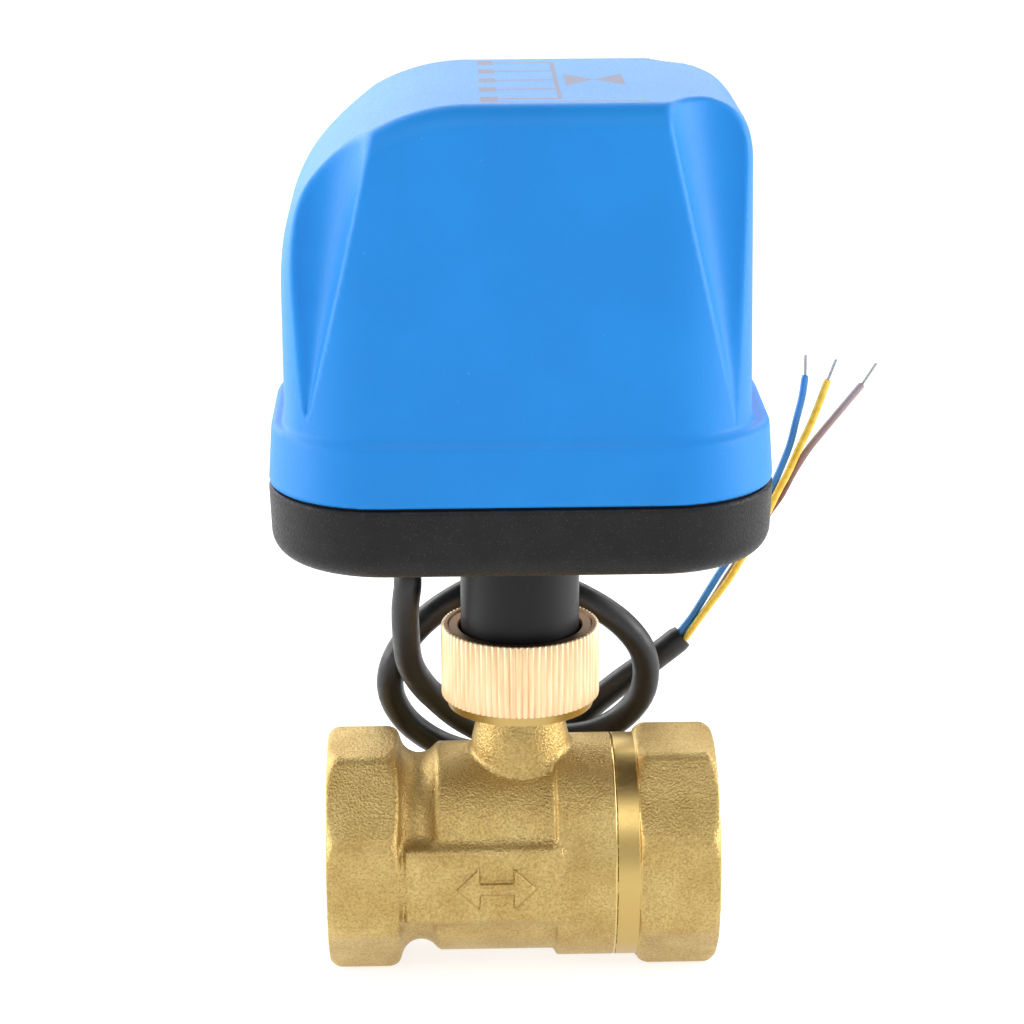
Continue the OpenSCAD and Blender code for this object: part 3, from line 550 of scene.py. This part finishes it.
class Paint:
    """A material in the making: each call adds nodes and joins them up."""

    def __init__(self, name, colour, roughness, metallic=0.0, specular=0.5):
        self.material = bpy.data.materials.new(name)
        self.material.use_nodes = True
        self.nodes = self.material.node_tree.nodes
        self.links = self.material.node_tree.links
        self.shader = self.nodes["Principled BSDF"]
        self.shader.inputs["Base Color"].default_value = colour
        self.shader.inputs["Roughness"].default_value = roughness
        self.shader.inputs["Metallic"].default_value = metallic
        self.shader.inputs["Specular IOR Level"].default_value = specular
        self.place = self.nodes.new("ShaderNodeTexCoord").outputs["Object"]
        self.normal = None

    def noise(self, size, detail=3.0, stretch=(1, 1, 1)):
        """Noise with features of about size millimetres, longer along an axis with a stretch over 1."""
        mapping = self.nodes.new("ShaderNodeMapping")
        mapping.inputs["Scale"].default_value = [1 / (size * MM * longer) for longer in stretch]
        self.links.new(self.place, mapping.inputs["Vector"])
        node = self.nodes.new("ShaderNodeTexNoise")
        node.inputs["Scale"].default_value = 1.0
        node.inputs["Detail"].default_value = detail
        self.links.new(mapping.outputs["Vector"], node.inputs["Vector"])
        return node.outputs["Fac"]

    def specks(self, size, share):
        """1 in a few round specks, a given share of the cells of that size, and 0 elsewhere."""
        node = self.nodes.new("ShaderNodeTexVoronoi")
        node.inputs["Scale"].default_value = 1 / (size * MM)
        self.links.new(self.place, node.inputs["Vector"])
        chosen = self.math("LESS_THAN", self.axis_of(node.outputs["Color"], "X"), share)
        return self.math("MULTIPLY", chosen, self.math("LESS_THAN", node.outputs["Distance"], 0.32))

    def axis_of(self, vector, axis):
        node = self.nodes.new("ShaderNodeSeparateXYZ")
        self.links.new(vector, node.inputs[0])
        return node.outputs[axis]

    def attribute(self, name):
        node = self.nodes.new("ShaderNodeAttribute")
        node.attribute_name = name
        return node.outputs["Fac"]

    def math(self, operation, first, second=0.0):
        node = self.nodes.new("ShaderNodeMath")
        node.operation = operation
        for socket, value in zip(node.inputs, (first, second)):
            if isinstance(value, (int, float)):
                socket.default_value = value
            else:
                self.links.new(value, socket)
        return node.outputs[0]

    def ramp(self, value, low, high, low_at=0.35, high_at=0.65):
        """Colour that goes from low to high as the value goes from low_at to high_at."""
        node = self.nodes.new("ShaderNodeValToRGB")
        ends = node.color_ramp.elements
        ends[0].position, ends[0].color = low_at, low
        ends[1].position, ends[1].color = high_at, high
        self.links.new(value, node.inputs["Fac"])
        return node.outputs["Color"]

    def mix(self, share, first, second, kind="MIX"):
        """Colour between two; each is a colour or a socket."""
        node = self.nodes.new("ShaderNodeMix")
        node.data_type = "RGBA"
        node.blend_type = kind
        sockets = [socket for socket in node.inputs if socket.enabled]
        for socket, value in zip(sockets, (share, first, second)):
            if isinstance(value, (int, float, tuple)):
                socket.default_value = value
            else:
                self.links.new(value, socket)
        return [socket for socket in node.outputs if socket.enabled][0]

    def colour(self, socket):
        self.links.new(socket, self.shader.inputs["Base Color"])

    def roughness(self, value, low, high):
        """Roughness that follows a value between 0.3 and 0.7."""
        node = self.nodes.new("ShaderNodeMapRange")
        node.inputs["From Min"].default_value = 0.3
        node.inputs["From Max"].default_value = 0.7
        node.inputs["To Min"].default_value = low
        node.inputs["To Max"].default_value = high
        self.links.new(value, node.inputs["Value"])
        self.links.new(node.outputs["Result"], self.shader.inputs["Roughness"])

    def bump(self, height, depth, strength=1.0):
        """Relief of a height from 0 to 1, depth millimetres deep, on top of what is there."""
        node = self.nodes.new("ShaderNodeBump")
        node.inputs["Distance"].default_value = depth * MM
        node.inputs["Strength"].default_value = strength
        self.links.new(height, node.inputs["Height"])
        if self.normal is not None:
            self.links.new(self.normal, node.inputs["Normal"])
        self.normal = node.outputs["Normal"]
        self.links.new(self.normal, self.shader.inputs["Normal"])


def forged_brass():
    """Sand-blasted brass: fine pits, bright grains and patches of duller metal."""
    paint = Paint("forged_brass", linear(212, 180, 112), 0.42, 0.9)
    grain = paint.noise(0.42, 2.5)
    patches = paint.noise(7.0, 4)
    metal = paint.ramp(patches, linear(190, 160, 98), linear(206, 180, 118), 0.32, 0.68)
    shade = paint.ramp(grain, (0.72, 0.7, 0.66, 1), WHITE, 0.3, 0.62)
    paint.colour(paint.mix(1.0, metal, shade, "MULTIPLY"))
    paint.roughness(grain, 0.52, 0.36)
    paint.bump(paint.noise(1.8, 3), 0.08, 0.4)
    paint.bump(grain, 0.2, 1.0)
    return paint.material


def turned_brass():
    """Bright turned brass with tool marks around the bore."""
    paint = Paint("turned_brass", linear(226, 196, 112), 0.2, 1.0)
    marks = paint.noise(0.12, 2, (1, 60, 60))
    paint.colour(paint.ramp(marks, linear(208, 180, 112), linear(222, 197, 132)))
    paint.roughness(marks, 0.2, 0.3)
    paint.bump(marks, 0.004, 0.3)
    return paint.material


def nut_brass():
    """Pale knurled brass with upright streaks."""
    paint = Paint("nut_brass", linear(238, 206, 158), 0.46, 0.55)
    streaks = paint.noise(0.7, 3, (1, 1, 14))
    marks = paint.noise(1.1, 4, (1, 1, 5))
    pale = paint.ramp(streaks, linear(234, 196, 150), linear(248, 222, 180), 0.3, 0.62)
    scored = paint.ramp(marks, WHITE, BLACK, 0.2, 0.27)
    paint.colour(paint.mix(scored, pale, linear(172, 134, 92)))
    paint.roughness(streaks, 0.42, 0.3)
    paint.bump(streaks, 0.05, 0.5)
    return paint.material


def plain_metal(name, colour, roughness):
    """Smooth brass with faint marks all over."""
    paint = Paint(name, colour, roughness, 1.0)
    marks = paint.noise(0.5, 3)
    paint.roughness(marks, roughness - 0.04, roughness + 0.06)
    paint.bump(marks, 0.006, 0.3)
    return paint.material


def blue_cover():
    """Blue moulded plastic with a fine matt grain, a printed mark on top and a few scuffs."""
    paint = Paint("blue_cover", linear(10, 132, 220), 0.4, specular=0.36)
    cloud = paint.noise(22.0, 3)
    grain = paint.noise(0.35, 2)
    shade = paint.ramp(cloud, linear(1, 124, 205), linear(4, 129, 211))
    dust = paint.specks(0.6, 0.0015)
    dusty = paint.mix(paint.math("MULTIPLY", dust, 0.15), shade, linear(150, 195, 240))
    paint.colour(paint.mix(paint.math("MULTIPLY", printed_mark(paint), 0.8), dusty, linear(96, 84, 88)))
    paint.roughness(grain, 0.44, 0.58)
    paint.bump(grain, 0.06, 0.6)
    return paint.material


def printed_mark(paint):
    """Mask of a plain diagram on the cover's top: a valve symbol, its supply lines and terminals."""
    x, y, z = (paint.math("DIVIDE", paint.axis_of(paint.place, axis), MM) for axis in "XYZ")

    def within(value, middle, half):
        away = paint.math("ABSOLUTE", paint.math("SUBTRACT", value, middle))
        return paint.math("LESS_THAN", away, half)

    def patch(middle_x, middle_y, half_x, half_y):
        return paint.math("MULTIPLY", within(x, middle_x, half_x), within(y, middle_y, half_y))

    from_middle = paint.math("ABSOLUTE", paint.math("SUBTRACT", x, MARK_X + 6))
    slope = paint.math("MULTIPLY", from_middle, 1.3)
    from_line = paint.math("ABSOLUTE", paint.math("SUBTRACT", y, MARK_Y))
    bow = paint.math("LESS_THAN", from_line, slope)
    mask = paint.math("MULTIPLY", bow, paint.math("LESS_THAN", from_middle, 5))
    for line_y in (-20, -10, 0, 10, 20):
        mask = paint.math("MAXIMUM", mask, patch(MARK_X - 6, MARK_Y + line_y, 5.5, 0.6))
        mask = paint.math("MAXIMUM", mask, patch(MARK_X - 12.2, MARK_Y + line_y, 1.4, 2.4))
    mask = paint.math("MAXIMUM", mask, patch(MARK_X - 0.5, MARK_Y, 0.35, 20))
    for edge_y in (-23, 25):
        mask = paint.math("MAXIMUM", mask, patch(MARK_X, MARK_Y + edge_y, 14, 0.5))
    return paint.math("MULTIPLY", mask, paint.math("GREATER_THAN", z, TOP_Z - 1.5))


def moulded(name, colour, roughness, size=0.4, depth=0.03, variation=0.12, specular=0.5):
    """Moulded plastic or rubber with a fine grain and a little variation in its colour."""
    paint = Paint(name, colour, roughness, specular=specular)
    grain = paint.noise(size, 2)
    darker = tuple(part * (1 - variation) for part in colour[:3]) + (1.0,)
    lighter = tuple(min(1.0, part * (1 + variation)) for part in colour[:3]) + (1.0,)
    paint.colour(paint.ramp(paint.noise(9 * size, 3), darker, lighter))
    paint.roughness(grain, roughness - 0.06, roughness + 0.08)
    paint.bump(grain, depth, 0.6)
    return paint.material


def black_base():
    """Black moulded plastic with a spark-eroded grain, and pale specks painted into its colour as glints
    of light.
    """
    paint = Paint("black_base", linear(24, 24, 26), 0.42, specular=0.28)
    grain = paint.noise(0.4, 2.5)
    painted_glints = paint.specks(0.34, 0.16)
    shade = paint.ramp(paint.noise(5, 3), linear(9, 9, 12), linear(17, 17, 20))
    # Pale specks painted into the colour as glints of light on the grain.
    paint.colour(paint.mix(paint.math("MULTIPLY", painted_glints, 0.3), shade, linear(76, 76, 80)))
    paint.roughness(grain, 0.36, 0.6)
    paint.bump(grain, 0.12, 0.7)
    return paint.material


def brushed(name, colour, roughness, stretch=(1, 18, 1)):
    """Plated or rolled steel with fine marks in one direction."""
    paint = Paint(name, colour, roughness, 1.0)
    marks = paint.noise(0.25, 3, stretch)
    darker = tuple(part * 0.82 for part in colour[:3]) + (1.0,)
    paint.colour(paint.ramp(marks, darker, colour))
    paint.roughness(marks, roughness - 0.06, roughness + 0.12)
    paint.bump(marks, 0.01, 0.5)
    return paint.material


def striped_core():
    """Yellow insulation with a green stripe that winds around it."""
    paint = Paint("core_yellow_green", linear(240, 190, 50), 0.34)
    grain = paint.noise(1.2, 3)
    yellow = paint.ramp(grain, linear(232, 180, 42), linear(248, 204, 74))
    stripe = paint.ramp(paint.attribute("stripe"), BLACK, WHITE, 0.74, 0.78)
    paint.colour(paint.mix(stripe, yellow, linear(52, 128, 70)))
    paint.roughness(grain, 0.3, 0.42)
    paint.bump(grain, 0.02, 0.4)
    return paint.material


def faded_core():
    """Brown insulation that turns greyish towards its upper end."""
    paint = Paint("core_brown", linear(112, 70, 56), 0.4)
    height = paint.math("DIVIDE", paint.axis_of(paint.place, "Z"), 0.1)
    brown = paint.ramp(paint.noise(1.2, 3), linear(100, 60, 46), linear(122, 80, 66))
    faded = paint.ramp(height, BLACK, WHITE, 0.78, 0.96)
    paint.colour(paint.mix(faded, brown, linear(168, 148, 146)))
    paint.bump(paint.noise(0.5, 2), 0.02, 0.4)
    return paint.material


def make_paints():
    """Every material, under the name of its slot in the record."""
    return {
        "forged_brass": forged_brass(),
        "turned_brass": turned_brass(),
        "nut_brass": nut_brass(),
        "polished_brass": plain_metal("polished_brass", linear(198, 170, 106), 0.34),
        # Darker brass for the nut's top and lip: painted shade standing in for the reflection of the
        # black base above them.
        "painted_shade_brass": plain_metal("painted_shade_brass", linear(118, 90, 58), 0.42),
        "blue_cover": blue_cover(),
        "black_base": black_base(),
        "black_neck": moulded("black_neck", linear(14, 14, 17), 0.42, 0.3, 0.015, 0.1, 0.3),
        "cable_black": moulded("cable_black", linear(26, 26, 28), 0.4, 1.4, 0.03, 0.12),
        "core_blue": moulded("core_blue", linear(64, 132, 196), 0.36, 0.8, 0.02, 0.14),
        "core_yellow_green": striped_core(),
        "core_brown": faded_core(),
        "tinned_copper": brushed("tinned_copper", linear(196, 194, 188), 0.3, (1, 1, 8)),
        "chromed_ball": brushed("chromed_ball", linear(220, 222, 226), 0.12, (1, 1, 1)),
        "ptfe": moulded("ptfe", linear(238, 238, 230), 0.38, 0.5, 0.01, 0.04),
        "seal_rubber": moulded("seal_rubber", linear(30, 30, 32), 0.55, 0.4, 0.02),
        "zinc_steel": brushed("zinc_steel", linear(196, 198, 202), 0.32, (1, 1, 1)),
        "plate_steel": brushed("plate_steel", linear(184, 186, 190), 0.34),
        "shaft_steel": brushed("shaft_steel", linear(176, 180, 184), 0.28, (20, 20, 1)),
        "white_acetal": moulded("white_acetal", linear(236, 232, 220), 0.4, 0.5, 0.01, 0.04),
        "switch_black": moulded("switch_black", linear(32, 32, 34), 0.45, 0.3, 0.02),
        "plunger_red": moulded("plunger_red", linear(190, 34, 34), 0.38, 0.3, 0.01),
        "tinned_brass": brushed("tinned_brass", linear(206, 190, 142), 0.3, (1, 1, 10)),
        "board_green": moulded("board_green", linear(24, 88, 50), 0.34, 0.8, 0.02, 0.2),
        "relay_blue": moulded("relay_blue", linear(46, 86, 160), 0.4, 0.4, 0.02),
        "capacitor_yellow": moulded("capacitor_yellow", linear(214, 170, 44), 0.4, 0.5, 0.02),
        "terminal_green": moulded("terminal_green", linear(44, 132, 92), 0.42, 0.4, 0.02),
        "nylon_white": moulded("nylon_white", linear(232, 232, 226), 0.42, 0.4, 0.02, 0.05),
    }


def dress(piece, *materials, choose=None):
    """Gives a piece its materials; choose picks one by number from each face centre in millimetres."""
    piece.data.materials.clear()
    for material in materials:
        piece.data.materials.append(material)
    count = len(piece.data.polygons)
    index = np.zeros(count, np.int32)
    if choose is not None:
        centres = np.empty(count * 3, np.float32)
        piece.data.polygons.foreach_get("center", centres)
        index = choose(*(centres.reshape(-1, 3).T / MM)).astype(np.int32)
    piece.data.polygons.foreach_set("material_index", index)


def stand_for(piece, node, body, slot, *materials, choose=None):
    """Puts a piece in the place of a CAD node."""
    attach(piece, body)
    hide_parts(node)
    dress(piece, *materials, choose=choose)


# ---------------------------------------------------------------- cable and cores


def make_cable(paints):
    line = smooth_route(CABLE_ROUTE, 1.2)
    cable = tube("supply_cable", line, CABLE_D / 2, 28)
    stand_for(cable, "power_cable", "head", "cable_black", paints["cable_black"])


def make_cores(paints):
    for node, (route, tip_node, tip_end) in CORES.items():
        slot = node.replace("wire", "core")
        line = smooth_route(route, 0.8)
        core = tube(node + "_core", line, CORE_D / 2, 16, stripe_pitch=-150.0)
        stand_for(core, node, "head", slot, paints[slot])
        tip = strands(tip_node + "_strands", route[-1], tip_end, 0.3)
        stand_for(tip, tip_node, "head", "tinned_copper", paints["tinned_copper"])


# ---------------------------------------------------------------- valve

def octagon(y, w):
    """Section of the pipe ends, with softened corners."""
    square = blend_max(np.abs(y) - OCTAGON_HALF, np.abs(w) - OCTAGON_HALF, 1.0)
    return blend_max(square, (np.abs(y) + np.abs(w)) / math.sqrt(2) - OCTAGON_HALF, 1.0)


def pipe_end(out, y, w, inner, shoulder):
    """Octagonal pipe end between inner and the mouth; out is the distance from the stem along the bore.

    Its inner corners are turned down from shoulder inwards."""
    radius = np.hypot(y, w)
    mouth_cone = (radius + out - HALF_LENGTH - OCTAGON_CORNER + 1.6) / math.sqrt(2)
    inner_cone = (radius - out - OCTAGON_CORNER + shoulder) / math.sqrt(2)
    end = blend_max(octagon(y, w), mouth_cone, 0.6)
    end = blend_max(end, inner_cone, 0.8)
    end = blend_max(end, out - HALF_LENGTH, 0.3)
    return blend_max(end, inner - out, 0.4)


def thread_hole(out, y, w):
    """Pipe thread and its countersunk mouth."""
    radius = np.hypot(y, w)
    phase = out / THREAD_PITCH + np.arctan2(w, y) / (2 * math.pi)
    crest = np.abs((phase % 1.0) - 0.5) * 2
    runout = np.clip((out - HALF_LENGTH + THREAD_DEPTH) / THREAD_PITCH, 0, 1)
    thread = (radius - THREAD_R - THREAD_HEIGHT * crest * runout) * 0.75
    thread = np.maximum(thread, HALF_LENGTH - THREAD_DEPTH - out)
    mouth = (radius - out - THREAD_R - THREAD_HEIGHT - 0.3 + HALF_LENGTH) / math.sqrt(2)
    return np.minimum(thread, mouth)


def arrow_mark(x, z):
    """Outline of a plain double-headed arrow, seen from the front."""
    across = np.abs(x - ARROW_X)
    up = np.abs(z - AXIS_Z)
    shaft = np.maximum(across - 3.6, up - 1.1)
    head = np.maximum((across + up * 1.05 - 7.2) / 1.45, 3.0 - across)
    return np.minimum(shaft, head)


def valve_outside(x, y, z):
    w = z - AXIS_Z
    radius = np.hypot(y, w)
    shape = pipe_end(-x, y, w, 20.5, 23.6)
    shape = np.minimum(shape, np.maximum(radius - BARREL_R, slab(x, -22.5, STEP_X + 1)))
    groove = np.hypot(x - GROOVE_X, radius - 20.5) - 3.5
    shape = blend_max(shape, -groove, 0.7)
    wide_barrel = blend_max(blend_max(radius - CAP_R, STEP_X - x, 0.8), x - JOINT_X, 0.15)
    shape = blend_min(shape, wide_barrel, 0.6)
    pad = blend_max(np.abs(w) - PAD_HALF, np.abs(y) - PAD_Y, 1.5)
    pad = blend_max(pad, slab(x, -21.0, STEP_X + 0.4), 0.6)
    shape = blend_min(shape, pad, 1.8)
    mark = blend_max(arrow_mark(x, z), -y - PAD_Y - 1.0, 0.6)
    shape = blend_min(shape, np.maximum(mark, y + BARREL_R - 2), 0.25)
    around = np.hypot(x, y)
    boss = np.maximum(around - BOSS_R, slab(z, AXIS_Z, COLLAR_Z))
    bulge = np.hypot(around, (z - BULGE_Z) * 0.9) - BULGE_R
    boss = blend_min(boss, bulge, 2.5)
    shape = blend_min(shape, boss, 1.0)
    collar = blend_max(around - COLLAR_R, z - COLLAR_TOP_Z, 0.4)
    collar = np.maximum(collar, (around - BOSS_R - (z - COLLAR_Z + 2) * 2.2) / 2.42)
    return np.minimum(shape, collar)


def valve_field(x, y, z):
    w = z - AXIS_Z
    radius = np.hypot(y, w)
    around = np.hypot(x, y)
    hole = thread_hole(-x, y, w)
    hole = np.minimum(hole, radius - PORT_R)
    hole = np.minimum(hole, np.maximum(radius - SEAT_R, -16.0 - x))
    hole = np.minimum(hole, np.maximum(radius - BALL_ROOM_R, -9.0 - x))
    hole = np.minimum(hole, np.maximum(radius - SPIGOT_BORE_R, SPIGOT_X - x))
    hole = np.minimum(hole, np.maximum(around - STEM_HEAD_R, slab(z, AXIS_Z, STEM_HEAD_Z)))
    hole = np.minimum(hole, np.maximum(around - STEM_R, AXIS_Z - z))
    return blend_max(valve_outside(x, y, z), -hole, 0.15)


def cap_field(x, y, z):
    w = z - AXIS_Z
    radius = np.hypot(y, w)
    shape = pipe_end(x, y, w, RING_END_X, RING_END_X + 1.6)
    ring = np.maximum(blend_max(radius - CAP_R, JOINT_X - x, 0.15), x - RING_END_X - 0.5)
    spigot = np.maximum(radius - SPIGOT_BORE_R + 0.1, slab(x, SPIGOT_X + 0.2, JOINT_X + 1))
    shape = np.minimum(np.minimum(shape, ring), spigot)
    shape = np.maximum(shape, -np.maximum(15.9 - radius, slab(x, 14.2, 16.4)))
    hole = thread_hole(x, y, w)
    hole = np.minimum(hole, np.maximum(radius - PORT_R, -x))
    hole = np.minimum(hole, np.maximum(radius - SEAT_R, x - 16.0))
    hole = np.minimum(hole, np.maximum(radius - BALL_ROOM_R, x - 9.0))
    return blend_max(shape, -hole, 0.15)


def onto_joint(points):
    """Moves the points near the edge between the body and the end cap onto that edge."""
    x, y, z = points.T
    radius = np.hypot(y, z - AXIS_Z)
    near = (np.abs(x - JOINT_X) < 0.24) & (np.abs(radius - CAP_R) < 0.3)
    scale = np.where(near, (CAP_R - 0.01) / np.maximum(radius, 1), 1)
    return np.stack([np.where(near, JOINT_X, x), y * scale, AXIS_Z + (z - AXIS_Z) * scale], axis=1)


def body_faces(x, y, z):
    """1 where the body is turned and 0 where it is as forged."""
    return turned_faces(-x, y, z) | (x > JOINT_X - 0.2) | (z > COLLAR_TOP_Z - 0.3)


def cap_faces(x, y, z):
    """2 on the end cap's ring, 1 where it is turned and 0 where it is as forged."""
    return np.where(x < RING_END_X + 0.35, 2, turned_faces(x, y, z))


def make_valve(paints):
    forged, turned_metal = paints["forged_brass"], paints["turned_brass"]
    low = (-HALF_LENGTH - 0.7, -22.0, -1.0)
    high = (JOINT_X + 0.7, 22.0, COLLAR_TOP_Z + 0.9)
    body = cast("valve_casting", valve_field, low, high, VALVE_CELL, onto_joint)
    stand_for(body, "valve_body", "valve", "forged_brass", forged, turned_metal, choose=body_faces)
    low = (7.6, -22.0, -1.0)
    high = (HALF_LENGTH + 0.9, 22.0, 42.0)
    cap = cast("end_cap_casting", cap_field, low, high, VALVE_CELL, onto_joint)
    stand_for(cap, "end_cap", "valve", "forged_brass", forged, turned_metal, paints["polished_brass"],
              choose=cap_faces)


def turned_faces(out, y, z):
    """Faces that a tool has cut: the mouth, its face and the thread."""
    radius = np.hypot(y, z - AXIS_Z)
    return (radius < np.where(out > 20.0, 17.2, 16.6)) | (out > HALF_LENGTH - 0.15)


def knurl(angle, radius, height):
    """Straight knurl on the outside, and the thread in the bore."""
    on_knurl = (radius > NUT_R - 0.6) & (height > KNURL_Z - 0.05)
    tooth = -0.32 * (1 - np.abs(np.cos(KNURL_TEETH / 2 * angle)))
    in_bore = (np.abs(radius - NUT_BORE_R) < 0.05) & (height > NUT_Z + 0.3) & (height < NUT_LIP_Z - 0.3)
    phase = height / 1.5 + angle / (2 * math.pi)
    thread = 0.55 * np.abs((phase % 1.0) - 0.5) * 2
    return np.where(on_knurl, tooth, 0) + np.where(in_bore, thread, 0)


def nut_faces(x, y, z):
    """0 on the knurl, 1 in the bore, 2 on the lower chamfer and 3 on the top and its lip, which get
    darker brass as painted shade: it stands in for the black base reflected above them.
    """
    radius = np.hypot(x, y)
    on_top = (z > NUT_LIP_Z - 0.1) & (radius < NUT_R - 0.8)
    on_chamfer = (z < KNURL_Z - 0.02) & (radius > NUT_BORE_R + 0.2)
    return np.where(on_top, 3, np.where(on_chamfer, 2, radius < NUT_BORE_R + 0.7))


def make_nut(paints):
    bore = [(NUT_BORE_R, z) for z in np.arange(NUT_LIP_Z, NUT_Z, -0.3)]
    outline = bore + [
        (NUT_BORE_R, NUT_Z), (NUT_BORE_R + 0.15, NUT_Z), (NUT_BORE_R + 0.45, NUT_Z + 0.12),
        (NUT_R - 0.75, KNURL_Z - 0.45), (NUT_R - 0.62, KNURL_Z - 0.1),
        (NUT_R - 0.12, KNURL_Z), (NUT_R, KNURL_Z + 0.25), (NUT_R, 53), (NUT_R, 56), (NUT_R, 59),
        (NUT_R, NUT_TOP_Z - 0.45), (NUT_R - 0.15, NUT_TOP_Z - 0.1), (NUT_R - 0.45, NUT_TOP_Z),
        (NUT_R - 1.2, NUT_TOP_Z), (NUT_R - 1.5, NUT_TOP_Z - 0.35), (NUT_LIP_R + 0.3, NUT_TOP_Z - 0.35),
        (NUT_LIP_R, NUT_TOP_Z - 0.65), (NUT_LIP_R, NUT_LIP_Z),
    ]
    nut = turned("knurled_nut", outline, segments=KNURL_TEETH * 8, shift=knurl)
    # The fourth material, the darker brass, is painted shade on the nut's top and lip.
    stand_for(nut, "union_nut", "nut", "nut_brass", paints["nut_brass"], paints["turned_brass"],
              paints["polished_brass"], paints["painted_shade_brass"], choose=nut_faces)


# ---------------------------------------------------------------- head

def make_gland(paints):
    corners = [
        (CABLE_D / 2, GLAND_Z), (3.4, GLAND_Z), (4.6, GLAND_Z + 6), (5.0, GLAND_Z + 6), (5.0, BASE_Z),
        (GLAND_R, BASE_Z), (GLAND_R, FLOOR_Z), (4.8, FLOOR_Z),
        (4.8, FLOOR_Z + 1.5), (CABLE_D / 2, FLOOR_Z + 1.5),
    ]
    gland = turned("gland_sleeve", rounded_outline(corners[::-1], 0.35), (GLAND_X, 0), 72)
    stand_for(gland, "cable_gland", "head", "cable_black", paints["cable_black"])


def base_field(x, y, z):
    draft = 0.035 * (RIM_Z - z)
    plan = rounded_plan(x, y, HEAD_HALF_X - draft, HEAD_HALF_Y - draft, CORNER_R)
    shape = blend_max(plan, BASE_Z - z, 4.5)
    shape = blend_max(shape, z - RIM_Z + 0.1, 0.6)
    thickness = WALL + 0.2
    hollow = rounded_plan(x, y, HEAD_HALF_X - thickness, HEAD_HALF_Y - thickness, CORNER_R - thickness)
    hollow = np.maximum(hollow, FLOOR_Z - z)
    shape = blend_max(shape, -hollow, 0.25)
    from_screw = np.hypot(np.abs(x) - SCREW_X, np.abs(y) - SCREW_Y)
    shape = blend_min(shape, np.maximum(from_screw - POST_R, slab(z, FLOOR_Z - 1, RIM_Z - 0.15)), 0.6)
    from_stand = np.hypot(np.abs(x) - 24.5, np.abs(y) - 24.0)
    shape = np.minimum(shape, np.maximum(from_stand - 3.5, slab(z, FLOOR_Z - 1, FLOOR_Z + 1)))
    hole = np.hypot(x, y) - NECK_R
    hole = np.minimum(hole, np.hypot(x - GLAND_X, y) - GLAND_R - 0.05)
    hole = np.minimum(hole, np.maximum(from_screw - SCREW_HEAD_R, z - SCREW_HEAD_Z))
    hole = np.minimum(hole, from_screw - 1.7)
    return blend_max(shape, -hole, 0.2)


def make_base(paints):
    low = (-HEAD_HALF_X - 1, -HEAD_HALF_Y - 1, BASE_Z - 1)
    base = cast("base_tray", base_field, low, (HEAD_HALF_X + 1, HEAD_HALF_Y + 1, RIM_Z + 1), BASE_CELL)
    stand_for(base, "actuator_base", "head", "black_base", paints["black_base"])


def flute_cone(x, y, z):
    """Distance outside the cones of the cover's corner flutes; each leans out as it rises and widens."""
    share = (z - FLUTE_Z) / (TOP_Z - FLUTE_Z)
    centre_x = FLUTE_FOOT_X + (FLUTE_TOP_X - FLUTE_FOOT_X) * share
    centre_y = FLUTE_FOOT_Y + (FLUTE_TOP_Y - FLUTE_FOOT_Y) * share
    radius = FLUTE_TOP_R * np.maximum(share, -0.3)
    return (np.hypot(np.abs(x) - centre_x, np.abs(y) - centre_y) - radius) * 0.95


def cover_loaf(x, y, z, inset):
    """The cover above its skirt, moved in by an inset."""
    right = COVER_RIGHT - 0.018 * (z - 117) - inset
    outline = blend_max(COVER_LEFT + inset - x, z - TOP_Z + inset, 33.0 - inset)
    outline = blend_max(outline, x - right, 11.5 - inset)
    middle = (COVER_LEFT + COVER_RIGHT) / 2
    half_x = (COVER_RIGHT - COVER_LEFT) / 2 - inset
    half_y = 30.0 - 0.0306 * (z - 105) - inset
    plan = rounded_plan(x - middle, y, half_x + 0.3, half_y, 18.5 - inset)
    loaf = blend_max(outline, plan, max(4.2 - inset, 0.3))
    return blend_max(loaf, inset - flute_cone(x, y, z), 1.0)


def cover_field(x, y, z):
    draft = 0.065 * (z - RIM_Z)
    skirt = rounded_plan(x, y, HEAD_HALF_X - draft, HEAD_HALF_Y - draft, CORNER_R)
    skirt = blend_max(skirt, z - SKIRT_TOP_Z, 1.2)
    outside = blend_min(skirt, cover_loaf(x, y, z, 0.0), 0.9)
    outside = blend_max(outside, COVER_RIM_Z - z, 0.8)
    thickness = WALL + 0.3
    skirt_hollow = rounded_plan(x, y, HEAD_HALF_X - thickness, HEAD_HALF_Y - thickness, CORNER_R - WALL)
    skirt_hollow = np.maximum(skirt_hollow, z - SKIRT_TOP_Z + WALL)
    hollow = np.minimum(skirt_hollow, cover_loaf(x, y, z, WALL))
    shape = np.maximum(outside, -hollow)
    from_screw = np.hypot(np.abs(x) - SCREW_X, np.abs(y) - SCREW_Y)
    post = np.maximum(from_screw - POST_R, slab(z, COVER_RIM_Z, 106))
    shape = np.minimum(shape, np.maximum(post, outside + 0.5))
    return np.maximum(shape, -np.maximum(from_screw - 1.5, z - 103))


def make_cover(paints):
    low = (-HEAD_HALF_X - 1, -HEAD_HALF_Y - 1, RIM_Z - 1)
    high = (HEAD_HALF_X + 1, HEAD_HALF_Y + 1, TOP_Z + 1.2)
    cover = cast("blue_shell", cover_field, low, high, COVER_CELL)
    stand_for(cover, "cover", "head", "blue_cover", paints["blue_cover"])


def dress_cad_nodes(paints):
    """Gives every CAD node that still shows the material of its slot."""
    for row in frame["record"]["subparts"]:
        dress(frame["nodes"][row["node"]], paints[row["material_slot"]])


make_camera()
make_stage()
paints = make_paints()
make_cable(paints)
make_cores(paints)
make_valve(paints)
make_nut(paints)
make_gland(paints)
make_base(paints)
make_cover(paints)
dress_cad_nodes(paints)
